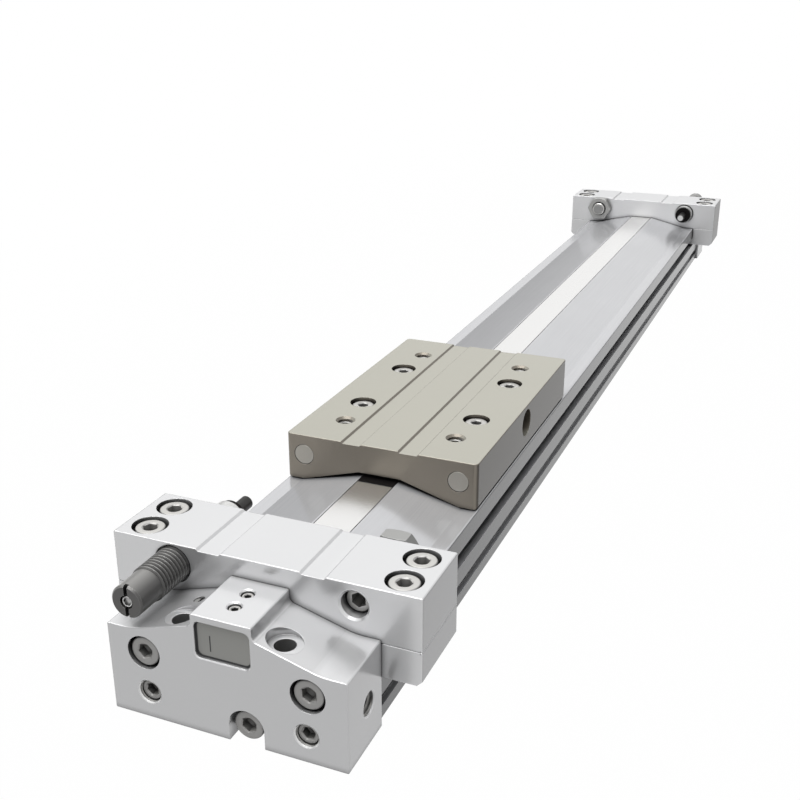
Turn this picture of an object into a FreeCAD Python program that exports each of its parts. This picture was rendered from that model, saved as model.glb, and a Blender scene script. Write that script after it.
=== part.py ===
import FreeCAD, Part
import math
import os

# Rodless cylinder with a slotted oval bore, a carriage table and an adjusting unit at each end.
# Millimetres. X runs along the tube from the near cover to the far one, +Y is left, +Z is up.
# The origin is under the middle of the tube, on the face that the cylinder stands on.

V = FreeCAD.Vector

# Tube
tube_length = 408.6
tube_width = 51.7
tube_height = 23.5
tube_slope_drop = 3.8
tube_edge_height = tube_height - tube_slope_drop
tube_flat_width = 10.6
tube_shoulder_width = 4.05
tube_slope_width = tube_width - 2 * tube_shoulder_width
tube_corner_radius = 0.5

bore_width = 30.4
bore_height = 11.0
bore_axis_height = 13.0
bore_top = bore_axis_height + bore_height / 2
slit_width = 4.2

t_slot_height = 12.6
t_slot_mouth = 4.0
t_slot_lip = 1.6
t_slot_depth = 4.2
t_slot_undercut = 1.7
side_groove_height = 4.6
side_groove_width = 2.8
side_groove_depth = 1.2

# Bands
dust_band_width = 9.4
dust_band_thickness = 0.3
seal_band_width = 8.0
seal_band_thickness = 0.8
band_side_clearance = 0.2

# Head covers
cover_length = 15.7
cover_overhang = 0.95
cover_width = tube_width + 2 * cover_overhang
cover_edge_rise = 0.9
cover_edge_height = tube_edge_height + cover_edge_rise
cover_shoulder_inset = 0.5
cover_shoulder_width = tube_slope_width - 2 * cover_shoulder_inset
cover_shoulder_blend = 14.0
cover_slope_rise = 1.2
cover_slope_height = tube_height + cover_slope_rise
cover_valley_radius = 1.3
ridge_rise = 4.0
cover_top = tube_height + ridge_rise
ridge_width = 13.6
edge_radius = 0.4
edge_break = 0.25
seam_radius = 0.3
bracket_edge_break = 0.2

chamber_depth = 7.5
chamber_wall = 1.6
spigot_radius = 2.4
spigot_wall = 0.9
spigot_reach = 8.0
spigot_seat = 2.5

# Clamp window and band clamp
window_width = 12.3
window_drop = 0.7
window_bottom = bore_top - window_drop
window_wall = 1.6
window_top = cover_top - window_wall
window_radius = 1.3
window_mouth = 0.25
clamp_clearance = 0.15
clamp_recess = 0.8
clamp_length = 12.5
clamp_slot_depth = 6.0
band_slot_clearance = 0.05
set_screw_spacing = 5.1
set_screw_first = 5.7
set_screw_radius = 1.35
set_screw_recess = 0.6
set_screw_length = 2.7
set_screw_hex = 1.3
set_screw_hex_depth = 1.2

# Gasket
gasket_width = 0.8
gasket_depth = 0.8
gasket_offset = 0.3

# M4 cap screws
screw_radius = 2.0
screw_hole_radius = 2.2
screw_head_radius = 3.3
screw_head_height = 4.0
screw_head_edge = 0.3
screw_hex = 3.0
screw_hex_depth = 2.0
counterbore_radius = 3.8
thread_clearance = 0.05

cover_screw_y = 18.4
cover_screw_height = 15.5
cover_screw_recess = 0.5
cover_screw_length = 21.0
low_screw_y = -4.55
low_screw_height = 4.05
low_screw_recess = 1.0
low_slot_width = 8.0

# Ports, M5
port_radius = 2.5
port_y = 17.85
port_height = 6.2
port_depth = 6.0
port_pilot_radius = 1.6
port_pilot_depth = 9.6
port_mouth = 0.3
side_port_offset = 9.6
side_port_height = 9.7
side_port_depth = 9.0
side_port_bleed_radius = 1.2
plug_length = 4.5
plug_recess = 0.9
plug_hex = 2.5
plug_hex_depth = 2.0
plug_clearance = 0.02

# Cushion needle
needle_offset = 10.9
needle_y = 11.6
needle_radius = 1.2
needle_recess = 0.5
needle_slot_width = 0.4
needle_slot_depth = 0.5

# Mounting holes through each cover
mount_hole_offset = 4.6
mount_hole_y = 11.5
mount_hole_radius = 2.25
mount_counterbore_radius = 3.7
mount_counterbore_rise = 1.7
mount_counterbore_floor = cover_edge_height + mount_counterbore_rise

# Adjusting units
unit_length = 19.5
unit_overhang = 9.6
unit_width = tube_width + 2 * unit_overhang
unit_rise = 8.3
unit_top = tube_height + unit_rise
unit_groove_inner = 9.0
unit_groove_outer = 15.0
unit_groove_depth = 0.5
unit_screw_inset = 5.9
unit_screw_y = unit_width / 2 - unit_screw_inset
unit_screw_first = 5.15
unit_screw_spacing = 9.3
unit_counterbore_radius = 4.0
unit_screw_recess = 0.4
unit_screw_length = 16.0
hook_drop = 0.8
bracket_bottom = t_slot_height - hook_drop
bracket_chamfer = 1.2
bracket_gap = 0.1
hook_clearance = 0.25
nose_clearance = 0.05
hook_end_clearance = 0.3
hook_reach = t_slot_depth - hook_end_clearance

# Parts set in each adjusting unit
stop_depth = 4.9
stop_height = unit_top - stop_depth
bolt_radius = 2.95
bolt_hole_radius = 3.0
bolt_hole_mouth = 0.5
bolt_recess = 2.4
bolt_beyond_nut = 1.5
bolt_hex = 3.0
bolt_hex_depth = 3.0
bolt_edge = 0.4
nut_across_flats = 10.0
nut_thickness = 4.0
nut_edge = 0.45
nut_mouth = 0.4
bumper_radius = 2.2
bumper_depth = 2.2
bumper_proud = 0.5

absorber_radius = 4.0
absorber_hole_radius = 4.05
absorber_relief_radius = 4.4
absorber_relief_depth = 1.0
absorber_length = 39.2
absorber_reach = 3.4
absorber_plain_length = 7.1
absorber_plain_radius = 3.65
absorber_end_radius = 3.3
absorber_recess_radius = 1.5
absorber_recess_depth = 0.9
absorber_thread_pitch = 1.0
absorber_thread_depth = 0.55
absorber_thread_crest = 0.2
absorber_slot_width = 0.9
absorber_slot_depth = 1.0
absorber_hex = 2.0
absorber_hex_depth = 2.6
absorber_chamber_radius = 2.9
absorber_back_wall = 5.5
rod_radius = 1.6
rod_protrusion = 6.8
rod_piston_radius = 2.7
rod_piston_length = 4.0
rod_tip_edge = 0.3
rod_clearance = 0.06
collar_radius = 3.5
collar_length = 1.4
collar_depth = 3.0
spring_radius = 2.25
spring_wire_radius = 0.3
spring_turns = 5
spring_end_gap = 0.05

# Carriage
carriage_front_gap = 75.7
carriage_length = 82.0
carriage_side_inset = 0.05
carriage_width = tube_width - 2 * carriage_side_inset
carriage_rise = 8.7
carriage_top = tube_height + carriage_rise
carriage_edge_rise = 0.4
carriage_edge_height = tube_edge_height + carriage_edge_rise
carriage_slope_inset = 0.8
carriage_slope_width = tube_slope_width - 2 * carriage_slope_inset
carriage_flat_outset = 0.4
carriage_flat_width = tube_flat_width + 2 * carriage_flat_outset
carriage_flat_rise = 1.1
carriage_flat_height = tube_height + carriage_flat_rise
carriage_bottom_radius = 0.8
carriage_corner_radius = 1.2
table_groove_inner = 4.9
table_groove_outer = 10.5
table_groove_depth = 0.45
table_hole_radius = 2.0
table_hole_mouth = 0.6
table_hole_depth = 7.0
table_hole_x = 27.7
table_hole_y = 15.35
table_screw_x = 14.45
table_counterbore_radius = 3.55
table_screw_head_radius = 3.2
table_screw_head_height = 2.8
table_screw_recess = 0.9
table_screw_length = 9.0
side_hole_radius = 3.8
side_hole_drop = 4.9
side_hole_height = carriage_top - side_hole_drop
side_hole_depth = 4.8
disc_radius = 2.75
disc_thickness = 2.2
disc_edge = 0.2
disc_height = stop_height
stop_inset = 4.9
stop_y = carriage_width / 2 - stop_inset

# Yoke between the table and the pistons
yoke_gap = 0.6
yoke_plate_length = 46.0
yoke_plate_inset = 1.8
yoke_plate_width = tube_slope_width - 2 * yoke_plate_inset
yoke_plate_rise = 3.1
yoke_plate_top = tube_height + yoke_plate_rise
table_screw_inset = 3.7
table_screw_y = yoke_plate_width / 2 - table_screw_inset
yoke_pocket_clearance = 0.1
web_length = 42.0
web_width = 3.8
yoke_body_length = 48.0
yoke_body_clearance = 0.4
channel_side_gap = 0.6
channel_width = dust_band_width + 2 * channel_side_gap
channel_rise = 1.9
channel_height = yoke_plate_top + channel_rise
channel_length = 76.6
band_gap = 0.3
band_rise_start = 33.3
band_rise_end = 24.3
band_dip_start = 23.4
band_dip_end = 10.0
band_dip = 4.7
band_bend_radius = 3.0
envelope_clearance = 0.4
guide_floor_gap = 0.15

# Scrapers, rollers and bearing pads
scraper_inset = 1.0
scraper_overlap = 0.8
scraper_width = dust_band_width + 2 * scraper_overlap
scraper_rise = 2.1
scraper_top = tube_height + scraper_rise
band_running_gap = 0.06
roller_radius = 2.0
roller_inset = 0.4
roller_width = dust_band_width - 2 * roller_inset
roller_x = 35.9
roller_shaft_radius = 0.8
roller_shaft_length = 16.0
roller_bore_clearance = 0.04
pad_start = 24.8
pad_length = 12.8
pad_inner = 9.5
pad_inset = 2.3
pad_outer = tube_slope_width / 2 - pad_inset
pad_thickness = 1.6
pad_running_gap = 0.08

# Pistons
piston_length = 14.0
piston_clearance = 0.3
piston_bore_radius = 2.75
piston_bore_depth = 10.0
seal_groove_start = 3.0
seal_groove_width = 2.2
seal_groove_depth = 1.6
seal_running_gap = 0.05
wear_groove_start = 8.0
wear_groove_width = 3.0
wear_groove_depth = 1.0
dowel_radius = 1.2
dowel_half_length = 3.0
dowel_y = 9.5
magnet_radius = 2.3
magnet_thickness = 2.0
magnet_x = 8.0

# Smallest distance that counts as one
tolerance = 1e-4

# Places that follow from the sizes
tube_end = tube_length / 2
near_front = -tube_end - cover_length
unit_front = -tube_end
unit_back = unit_front + unit_length
seal_band_top = bore_top + seal_band_thickness
dust_band_bottom = tube_height - dust_band_thickness
nut_face = unit_back + nut_thickness
bolt_front = unit_front + bolt_recess
bolt_back = nut_face + bolt_beyond_nut
absorber_face = unit_back + absorber_reach
absorber_tail = absorber_face - absorber_length
rod_tip = absorber_face + collar_length + rod_protrusion
carriage_x = near_front + carriage_front_gap + carriage_length / 2
piston_face = yoke_body_length / 2 + piston_length


def join_points(before, corner, after, radius):
    """Start, middle and end of the arc that rounds one corner of an outline."""
    to_before = (before - corner).normalize()
    to_after = (after - corner).normalize()
    half_angle = to_before.getAngle(to_after) / 2
    reach = radius / math.tan(half_angle)
    bisector = (to_before + to_after).normalize()
    centre = corner + bisector * (radius / math.sin(half_angle))
    return corner + to_before * reach, centre - bisector * radius, corner + to_after * reach


def closed_face(corners, place):
    """Face inside an outline. A corner is (u, v) or (u, v, radius) and place makes it a point."""
    points = [place(corner[0], corner[1]) for corner in corners]
    radii = [corner[2] if len(corner) > 2 else 0 for corner in corners]
    count = len(points)
    joins = []
    for i in range(count):
        if radii[i]:
            joins.append(join_points(points[i - 1], points[i], points[(i + 1) % count], radii[i]))
        else:
            joins.append((points[i], None, points[i]))
    edges = []
    for i in range(count):
        start, middle, end = joins[i]
        if middle is not None:
            edges.append(Part.Arc(start, middle, end).toShape())
        next_start = joins[(i + 1) % count][0]
        if end.distanceToPoint(next_start) > tolerance:
            edges.append(Part.LineSegment(end, next_start).toShape())
    return Part.Face(Part.Wire(edges))


def along_x(corners, start, end):
    """Solid with a (y, z) outline, from one x to another."""
    face = closed_face(corners, lambda y, z: V(start, y, z))
    return face.extrude(V(end - start, 0, 0))


def across_y(corners, start, end):
    """Solid with an (x, z) outline, from one y to another."""
    face = closed_face(corners, lambda x, z: V(x, start, z))
    return face.extrude(V(0, end - start, 0))


def mirrored(half):
    """Whole outline from the corners of its +Y half, listed from the bottom up."""
    other = [(-corner[0],) + tuple(corner[1:]) for corner in reversed(half)]
    return list(half) + other


def block(x_range, y_range, z_range):
    """Box between two limits along each axis."""
    size = [limits[1] - limits[0] for limits in (x_range, y_range, z_range)]
    return Part.makeBox(size[0], size[1], size[2], V(x_range[0], y_range[0], z_range[0]))


def centred_block(x_range, width, z_range):
    """Box centred on the plane y = 0."""
    return block(x_range, (-width / 2, width / 2), z_range)


def oval(width, height, start, end):
    """Prism along X with a flat oval section on the bore's axis."""
    low = bore_axis_height - height / 2
    high = bore_axis_height + height / 2
    radius = height / 2
    half = [(width / 2, low, radius), (width / 2, high, radius)]
    return along_x(mirrored(half), start, end)


def cylinder_x(radius, start, end, y, z):
    """Cylinder parallel to X."""
    return Part.makeCylinder(radius, end - start, V(start, y, z), V(1, 0, 0))


def cylinder_y(radius, start, end, x, z):
    """Cylinder parallel to Y."""
    return Part.makeCylinder(radius, end - start, V(x, start, z), V(0, 1, 0))


def cylinder_z(radius, start, end, x, y):
    """Cylinder parallel to Z."""
    return Part.makeCylinder(radius, end - start, V(x, y, start), V(0, 0, 1))


def lathe(corners, y, z):
    """Solid turned about an axis parallel to X, from (x, radius) corners."""
    face = closed_face(corners, lambda x, radius: V(x, y, z + radius))
    return face.revolve(V(0, y, z), V(1, 0, 0), 360)


def hexagon(across_flats, length):
    """Hexagonal prism on +Z with flats square to Y."""
    radius = across_flats / math.sqrt(3)
    corners = [(radius * math.cos(math.radians(60 * i)), radius * math.sin(math.radians(60 * i)))
               for i in range(6)]
    face = closed_face(corners, lambda x, y: V(x, y, 0))
    return face.extrude(V(0, 0, length))


def hex_socket(across_flats, depth):
    """Cutter for a hexagon socket with its mouth at the origin, along -Z."""
    socket = hexagon(across_flats, depth)
    socket.translate(V(0, 0, -depth))
    return socket


def aimed(shape, point, direction):
    """Copy of a shape whose -Z is turned to a direction and whose origin is moved to a point."""
    placed = shape.copy()
    aim = FreeCAD.Placement(V(*point), FreeCAD.Rotation(V(0, 0, -1), V(*direction)))
    placed.Placement = aim.multiply(shape.Placement)
    return placed


def turned(shape):
    """The same piece at the other end of the cylinder."""
    other = shape.copy()
    other.rotate(V(0, 0, 0), V(0, 0, 1), 180)
    return other


def turned_on_carriage(shape):
    """The same piece at the other end of the carriage."""
    other = shape.copy()
    other.rotate(V(carriage_x, 0, 0), V(0, 0, 1), 180)
    return other


def both_sides(shape):
    """A piece and its mirror image across the plane y = 0."""
    return [shape, shape.mirror(V(0, 0, 0), V(0, 1, 0))]


def eased(shape, radius, chosen):
    """Shape with a small round on each edge that chosen accepts."""
    edges = [edge for edge in shape.Edges if chosen(edge)]
    return shape.makeFillet(radius, edges)


def lies_on_x(edge, x):
    """Whether every end of an edge lies on one plane square to X."""
    return all(abs(vertex.X - x) < tolerance for vertex in edge.Vertexes)


def cap_screw(length, head_radius, head_height):
    """Cap screw with its head's top at the origin and its shank on -Z."""
    head = Part.makeCylinder(head_radius, head_height, V(0, 0, -head_height))
    rim = [edge for edge in head.Edges if edge.BoundBox.ZMin > -tolerance]
    head = head.makeChamfer(screw_head_edge, rim)
    shank = Part.makeCylinder(screw_radius, length, V(0, 0, -head_height - length))
    return head.fuse(shank).removeSplitter().cut(hex_socket(screw_hex, screw_hex_depth))


def counterbored(point, direction, recess, length, radius, head_height):
    """Cutter for a cap screw's counterbore and clearance hole, its mouth at a point."""
    mouth = Part.makeCylinder(radius, recess + head_height, V(0, 0, -recess - head_height))
    hole = Part.makeCylinder(screw_hole_radius, length, V(0, 0, -length))
    return aimed(mouth.fuse(hole), point, direction)


def threaded_mouth(radius, chamfer, length):
    """Cutter for a threaded hole with a chamfered mouth at the origin, along -Z."""
    hole = Part.makeCylinder(radius, length, V(0, 0, -length))
    cone = Part.makeCone(radius, radius + chamfer, chamfer, V(0, 0, -chamfer))
    return hole.fuse(cone)


def tube_top_outline(lift):
    """Right half of the tube's top, from the middle outwards, lifted by a clearance."""
    return [(tube_flat_width / 2, tube_height + lift), (tube_slope_width / 2, tube_edge_height + lift)]


def slope_at(y, lift):
    """Height of the tube's sloping top at a distance from the middle."""
    run = (tube_slope_width - tube_flat_width) / 2
    fall = (tube_height - tube_edge_height) / run
    return tube_height + lift - fall * (y - tube_flat_width / 2)


def tube():
    """Extruded tube with an oval bore, a slit, T slots and side grooves."""
    side = tube_width / 2
    recess = dust_band_width / 2 + band_side_clearance
    groove_low = side_groove_height - side_groove_width / 2
    groove_high = side_groove_height + side_groove_width / 2
    mouth_low = t_slot_height - t_slot_mouth / 2
    mouth_high = t_slot_height + t_slot_mouth / 2
    half = [
        (side, 0, tube_corner_radius),
        (side, groove_low),
        (side - side_groove_depth, groove_low),
        (side - side_groove_depth, groove_high),
        (side, groove_high),
        (side, mouth_low),
        (side - t_slot_lip, mouth_low),
        (side - t_slot_lip, mouth_low - t_slot_undercut),
        (side - t_slot_depth, mouth_low - t_slot_undercut),
        (side - t_slot_depth, mouth_high + t_slot_undercut),
        (side - t_slot_lip, mouth_high + t_slot_undercut),
        (side - t_slot_lip, mouth_high),
        (side, mouth_high),
        (side, tube_edge_height, tube_corner_radius),
    ]
    half += list(reversed(tube_top_outline(0)))
    half += [(recess, tube_height), (recess, dust_band_bottom)]
    body = along_x(mirrored(half), -tube_end, tube_end)
    span = (-tube_end, tube_end)
    seal_recess = seal_band_width + 2 * band_side_clearance
    cuts = [
        oval(bore_width, bore_height, *span),
        centred_block(span, slit_width, (bore_axis_height, tube_height)),
        centred_block(span, seal_recess, (bore_axis_height, seal_band_top)),
    ]
    depth = cover_screw_length - cover_length + cover_screw_recess + screw_head_height + screw_radius
    for y, z in cover_screw_places():
        hole = cylinder_x(screw_radius + thread_clearance, -tube_end, -tube_end + depth, y, z)
        cuts += [hole, turned(hole)]
    return body.cut(cuts)


def cover_screw_places():
    """(y, z) of the three screws of the near cover."""
    return [(cover_screw_y, cover_screw_height), (-cover_screw_y, cover_screw_height),
            (low_screw_y, low_screw_height)]


def cover_body():
    """Plain near cover: a low block with sloping shoulders and a ridge along its middle."""
    half = [
        (cover_width / 2, 0, edge_radius),
        (cover_width / 2, cover_edge_height, edge_radius),
        (cover_shoulder_width / 2, cover_edge_height, cover_shoulder_blend),
        (ridge_width / 2, cover_slope_height, cover_valley_radius),
        (ridge_width / 2, cover_top, edge_radius),
    ]
    body = along_x(mirrored(half), near_front, -tube_end)
    return eased(body, edge_break, lambda edge: lies_on_x(edge, near_front) or lies_on_x(edge, -tube_end))


def window_face(x, grow):
    """Outline of the band window, grown by a margin."""
    side = window_width / 2 + grow
    radius = window_radius + grow
    half = [(side, window_bottom - grow, radius), (side, window_top + grow, radius)]
    return closed_face(mirrored(half), lambda y, z: V(x, y, z))


def cover_cuts():
    """Everything that is cut from the near cover."""
    into = (1, 0, 0)
    chamber_start = -tube_end - chamber_depth
    cuts = [
        window_face(near_front, 0).extrude(V(cover_length, 0, 0)),
        Part.makeLoft([window_face(near_front, window_mouth).OuterWire,
                       window_face(near_front + window_mouth, 0).OuterWire], True, True),
        oval(bore_width - 2 * chamber_wall, bore_height - 2 * chamber_wall, chamber_start, -tube_end),
        cylinder_x(spigot_radius, chamber_start - spigot_seat, chamber_start, 0, bore_axis_height),
    ]
    for y, z in cover_screw_places():
        recess = low_screw_recess if z == low_screw_height else cover_screw_recess
        cuts.append(counterbored((near_front, y, z), into, recess, cover_length, counterbore_radius,
                                 screw_head_height))
    slot_depth = low_screw_recess + screw_head_height
    slot_end = near_front + slot_depth
    slot_half = low_slot_width / 2
    cuts.append(block((near_front, slot_end), (low_screw_y - slot_half, low_screw_y + slot_half),
                      (0, low_screw_height)))
    cuts.append(cylinder_x(slot_half, near_front, slot_end, low_screw_y, low_screw_height))
    front_port = threaded_mouth(port_radius, port_mouth, port_depth)
    side_port = threaded_mouth(port_radius, port_mouth, side_port_depth)
    side_x = near_front + side_port_offset
    for side in (1, -1):
        cuts.append(aimed(front_port, (near_front, side * port_y, port_height), into))
        cuts.append(cylinder_x(port_pilot_radius, near_front, near_front + port_pilot_depth, side * port_y,
                               port_height))
        cuts.append(aimed(side_port, (side_x, side * cover_width / 2, side_port_height), (0, -side, 0)))
        mount_x = near_front + mount_hole_offset
        cuts.append(cylinder_z(mount_hole_radius, 0, cover_top, mount_x, side * mount_hole_y))
        cuts.append(cylinder_z(mount_counterbore_radius, mount_counterbore_floor, cover_top, mount_x,
                               side * mount_hole_y))
    cuts.append(cylinder_y(side_port_bleed_radius, -cover_width / 2 + side_port_depth,
                           cover_width / 2 - side_port_depth, side_x, side_port_height))
    needle_x = near_front + needle_offset
    cuts.append(cylinder_z(needle_radius, bore_axis_height, cover_top, needle_x, needle_y))
    for x in set_screw_places():
        mouth = threaded_mouth(set_screw_radius + thread_clearance, port_mouth, cover_top - window_bottom)
        cuts.append(aimed(mouth, (x, 0, cover_top), (0, 0, -1)))
    cuts.append(gasket_ring())
    return cuts


def set_screw_places():
    """x of the two band clamp screws in the near cover's ridge."""
    first = near_front + set_screw_first
    return [first, first + set_screw_spacing]


def gasket_ring():
    """Groove and gasket round the bore in the near cover's rear face, open at the band window."""
    inner = gasket_offset
    outer = gasket_offset + gasket_width
    start = -tube_end - gasket_depth
    ring = oval(bore_width + 2 * outer, bore_height + 2 * outer, start, -tube_end)
    ring = ring.cut(oval(bore_width + 2 * inner, bore_height + 2 * inner, start, -tube_end))
    return ring.cut(centred_block((start, -tube_end), window_width, (bore_axis_height, window_top)))


def head_cover():
    """Near head cover."""
    return cover_body().cut(cover_cuts())


def band_clamp():
    """Block in the near cover's window that holds the ends of both bands."""
    start = near_front + clamp_recess
    end = start + clamp_length
    half = [(window_width / 2 - clamp_clearance, window_bottom + clamp_clearance, window_radius),
            (window_width / 2 - clamp_clearance, window_top - clamp_clearance, window_radius)]
    body = along_x(mirrored(half), start, end)
    slot = (end - clamp_slot_depth, end)
    grow = band_slot_clearance
    cuts = [
        centred_block(slot, dust_band_width + 2 * grow, (dust_band_bottom - grow, tube_height + grow)),
        centred_block(slot, seal_band_width + 2 * grow, (bore_top - grow, seal_band_top + grow)),
    ]
    for x in set_screw_places():
        cuts.append(cylinder_z(set_screw_radius + thread_clearance, set_screw_bottom(), window_top, x, 0))
    return body.cut(cuts)


def set_screw_bottom():
    """Height of the band clamp screws' lower ends."""
    return cover_top - set_screw_recess - set_screw_length


def band_clamp_screws():
    """Set screws in the ridges of both covers."""
    screws = []
    socket = hex_socket(set_screw_hex, set_screw_hex_depth)
    for x in set_screw_places():
        top = cover_top - set_screw_recess
        screw = cylinder_z(set_screw_radius, set_screw_bottom(), top, x, 0)
        screw = screw.cut(aimed(socket, (x, 0, top), (0, 0, -1)))
        screws += [screw, turned(screw)]
    return screws


def cover_screws():
    """Three cap screws of the near cover."""
    screw = cap_screw(cover_screw_length, screw_head_radius, screw_head_height)
    screws = []
    for y, z in cover_screw_places():
        recess = low_screw_recess if z == low_screw_height else cover_screw_recess
        screws.append(aimed(screw, (near_front + recess, y, z), (1, 0, 0)))
    return screws


def port_plugs():
    """Socket plugs in the ports that aren't used: both front ports and one side port of each cover."""
    plug = Part.makeCylinder(port_radius - plug_clearance, plug_length, V(0, 0, -plug_length))
    plug = plug.cut(hex_socket(plug_hex, plug_hex_depth))
    near = [aimed(plug, (near_front + plug_recess, side * port_y, port_height), (1, 0, 0))
            for side in (1, -1)]
    side_place = (near_front + side_port_offset, cover_width / 2 - plug_recess, side_port_height)
    near.append(aimed(plug, side_place, (0, -1, 0)))
    return near + [turned(shape) for shape in near]


def cushion_needle():
    """Needle screw that sets the near cushion."""
    x = near_front + needle_offset
    top = cover_needle_mouth() - needle_recess
    bottom = bore_axis_height + bore_height / 2 - chamber_wall
    shank = cylinder_z(needle_radius - thread_clearance, bottom, top, x, needle_y)
    slot = block((x - needle_radius, x + needle_radius),
                 (needle_y - needle_slot_width / 2, needle_y + needle_slot_width / 2),
                 (top - needle_slot_depth, top))
    return shank.cut(slot)


def cover_needle_mouth():
    """Height of the cover's slope where the needle sits."""
    run = (cover_shoulder_width - ridge_width) / 2
    fall = (cover_slope_height - cover_edge_height) / run
    return cover_slope_height - fall * (needle_y - ridge_width / 2)


def cushion_spigot():
    """Hollow spigot on the near cover that enters the piston's bore."""
    start = -tube_end - chamber_depth - spigot_seat
    end = -tube_end + spigot_reach
    body = cylinder_x(spigot_radius, start, end, 0, bore_axis_height)
    return body.cut(cylinder_x(spigot_radius - spigot_wall, start, end, 0, bore_axis_height))


def groove(x_range, y_range, top, depth):
    """Cutter for a shallow groove along X whose walls slope at 45 degrees."""
    outline = [(y_range[0], top), (y_range[0] + depth, top - depth), (y_range[1] - depth, top - depth),
               (y_range[1], top)]
    return along_x(outline, *x_range)


def is_at_end_of_unit(edge):
    """Whether an edge of a plain near unit or bracket runs round its front or back face."""
    return lies_on_x(edge, unit_front) or lies_on_x(edge, unit_back)


def adjusting_unit():
    """Body of the near adjusting unit, which saddles the tube."""
    half = [
        (tube_flat_width / 2, tube_height),
        (tube_slope_width / 2, tube_edge_height),
        (unit_width / 2, tube_edge_height, seam_radius),
        (unit_width / 2, unit_top, edge_radius),
    ]
    body = along_x(mirrored(half), unit_front, unit_back)
    body = eased(body, edge_break, is_at_end_of_unit)
    cuts = [
        cylinder_x(bolt_hole_radius, unit_front, unit_back, -stop_y, stop_height),
        cylinder_x(absorber_hole_radius, unit_front, unit_back, stop_y, stop_height),
        cylinder_x(absorber_relief_radius, unit_front, unit_front + absorber_relief_depth, stop_y,
                   stop_height),
        cylinder_x(absorber_relief_radius, unit_back - absorber_relief_depth, unit_back, stop_y,
                   stop_height),
        Part.makeCone(bolt_hole_radius + bolt_hole_mouth, bolt_hole_radius, bolt_hole_mouth,
                      V(unit_front, -stop_y, stop_height), V(1, 0, 0)),
    ]
    for side in (1, -1):
        limits = sorted((side * unit_groove_inner, side * unit_groove_outer))
        cuts.append(groove((unit_front, unit_back), limits, unit_top, unit_groove_depth))
    through = unit_top - tube_edge_height
    for x, y in unit_screw_places():
        cuts.append(counterbored((x, y, unit_top), (0, 0, -1), unit_screw_recess, through,
                                 unit_counterbore_radius, screw_head_height))
    return body.cut(cuts)


def unit_screw_places():
    """(x, y) of the four screws of the near adjusting unit."""
    rows = [unit_front + unit_screw_first, unit_front + unit_screw_first + unit_screw_spacing]
    return [(x, y) for y in (unit_screw_y, -unit_screw_y) for x in rows]


def clamp_bracket():
    """Left bracket of the near adjusting unit: it hooks into the T slot from below the unit."""
    inner = tube_width / 2 + bracket_gap
    lip = tube_width / 2 - t_slot_lip - hook_clearance
    tip = tube_width / 2 - hook_reach
    mouth_top = t_slot_height + t_slot_mouth / 2
    corners = [
        (inner, tube_edge_height),
        (inner, mouth_top - nose_clearance),
        (lip, mouth_top - nose_clearance),
        (lip, mouth_top + t_slot_undercut - hook_clearance),
        (tip, mouth_top + t_slot_undercut - hook_clearance),
        (tip, bracket_bottom),
        (unit_width / 2 - bracket_chamfer, bracket_bottom),
        (unit_width / 2, bracket_bottom + bracket_chamfer),
        (unit_width / 2, tube_edge_height, seam_radius),
    ]
    body = eased(along_x(corners, unit_front, unit_back), bracket_edge_break, is_at_end_of_unit)
    cuts = [cylinder_z(screw_radius + thread_clearance, bracket_bottom, tube_edge_height, x, y)
            for x, y in unit_screw_places() if y > 0]
    return body.cut(cuts)


def unit_screws():
    """Four cap screws of the near adjusting unit."""
    length = unit_screw_length - screw_head_height
    screw = cap_screw(length, screw_head_radius, screw_head_height)
    return [aimed(screw, (x, y, unit_top - unit_screw_recess), (0, 0, -1)) for x, y in unit_screw_places()]


def stop_bolt():
    """Set bolt of the near unit, with a socket in front and a seat for its bumper behind."""
    corners = [
        (bolt_front, 0),
        (bolt_front, bolt_radius - bolt_edge),
        (bolt_front + bolt_edge, bolt_radius),
        (bolt_back - bolt_edge, bolt_radius),
        (bolt_back, bolt_radius - bolt_edge),
        (bolt_back, bumper_radius),
        (bolt_back - bumper_depth, bumper_radius),
        (bolt_back - bumper_depth, 0),
    ]
    body = lathe(corners, -stop_y, stop_height)
    socket = hex_socket(bolt_hex, bolt_hex_depth)
    return body.cut(aimed(socket, (bolt_front, -stop_y, stop_height), (1, 0, 0)))


def stop_bumper():
    """Rubber bumper in the near stop bolt."""
    start = bolt_back - bumper_depth
    end = bolt_back + bumper_proud
    body = cylinder_x(bumper_radius, start, end, -stop_y, stop_height)
    return eased(body, edge_break, lambda edge: lies_on_x(edge, end))


def stop_nut():
    """Lock nut of the near stop bolt, with a flat on top and its corners and its hole chamfered."""
    prism = hexagon(nut_across_flats, nut_thickness)
    prism.rotate(V(0, 0, 0), V(0, 0, 1), 90)
    nut = aimed(prism, (nut_face, -stop_y, stop_height), (1, 0, 0))
    corner = nut_across_flats / math.sqrt(3)
    ring = lathe([
        (unit_back, bolt_hole_radius),
        (unit_back, nut_across_flats / 2),
        (unit_back + nut_edge, corner),
        (nut_face - nut_edge, corner),
        (nut_face, nut_across_flats / 2),
        (nut_face, bolt_hole_radius + nut_mouth),
        (nut_face - nut_mouth, bolt_hole_radius),
    ], -stop_y, stop_height)
    return nut.common(ring)


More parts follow.
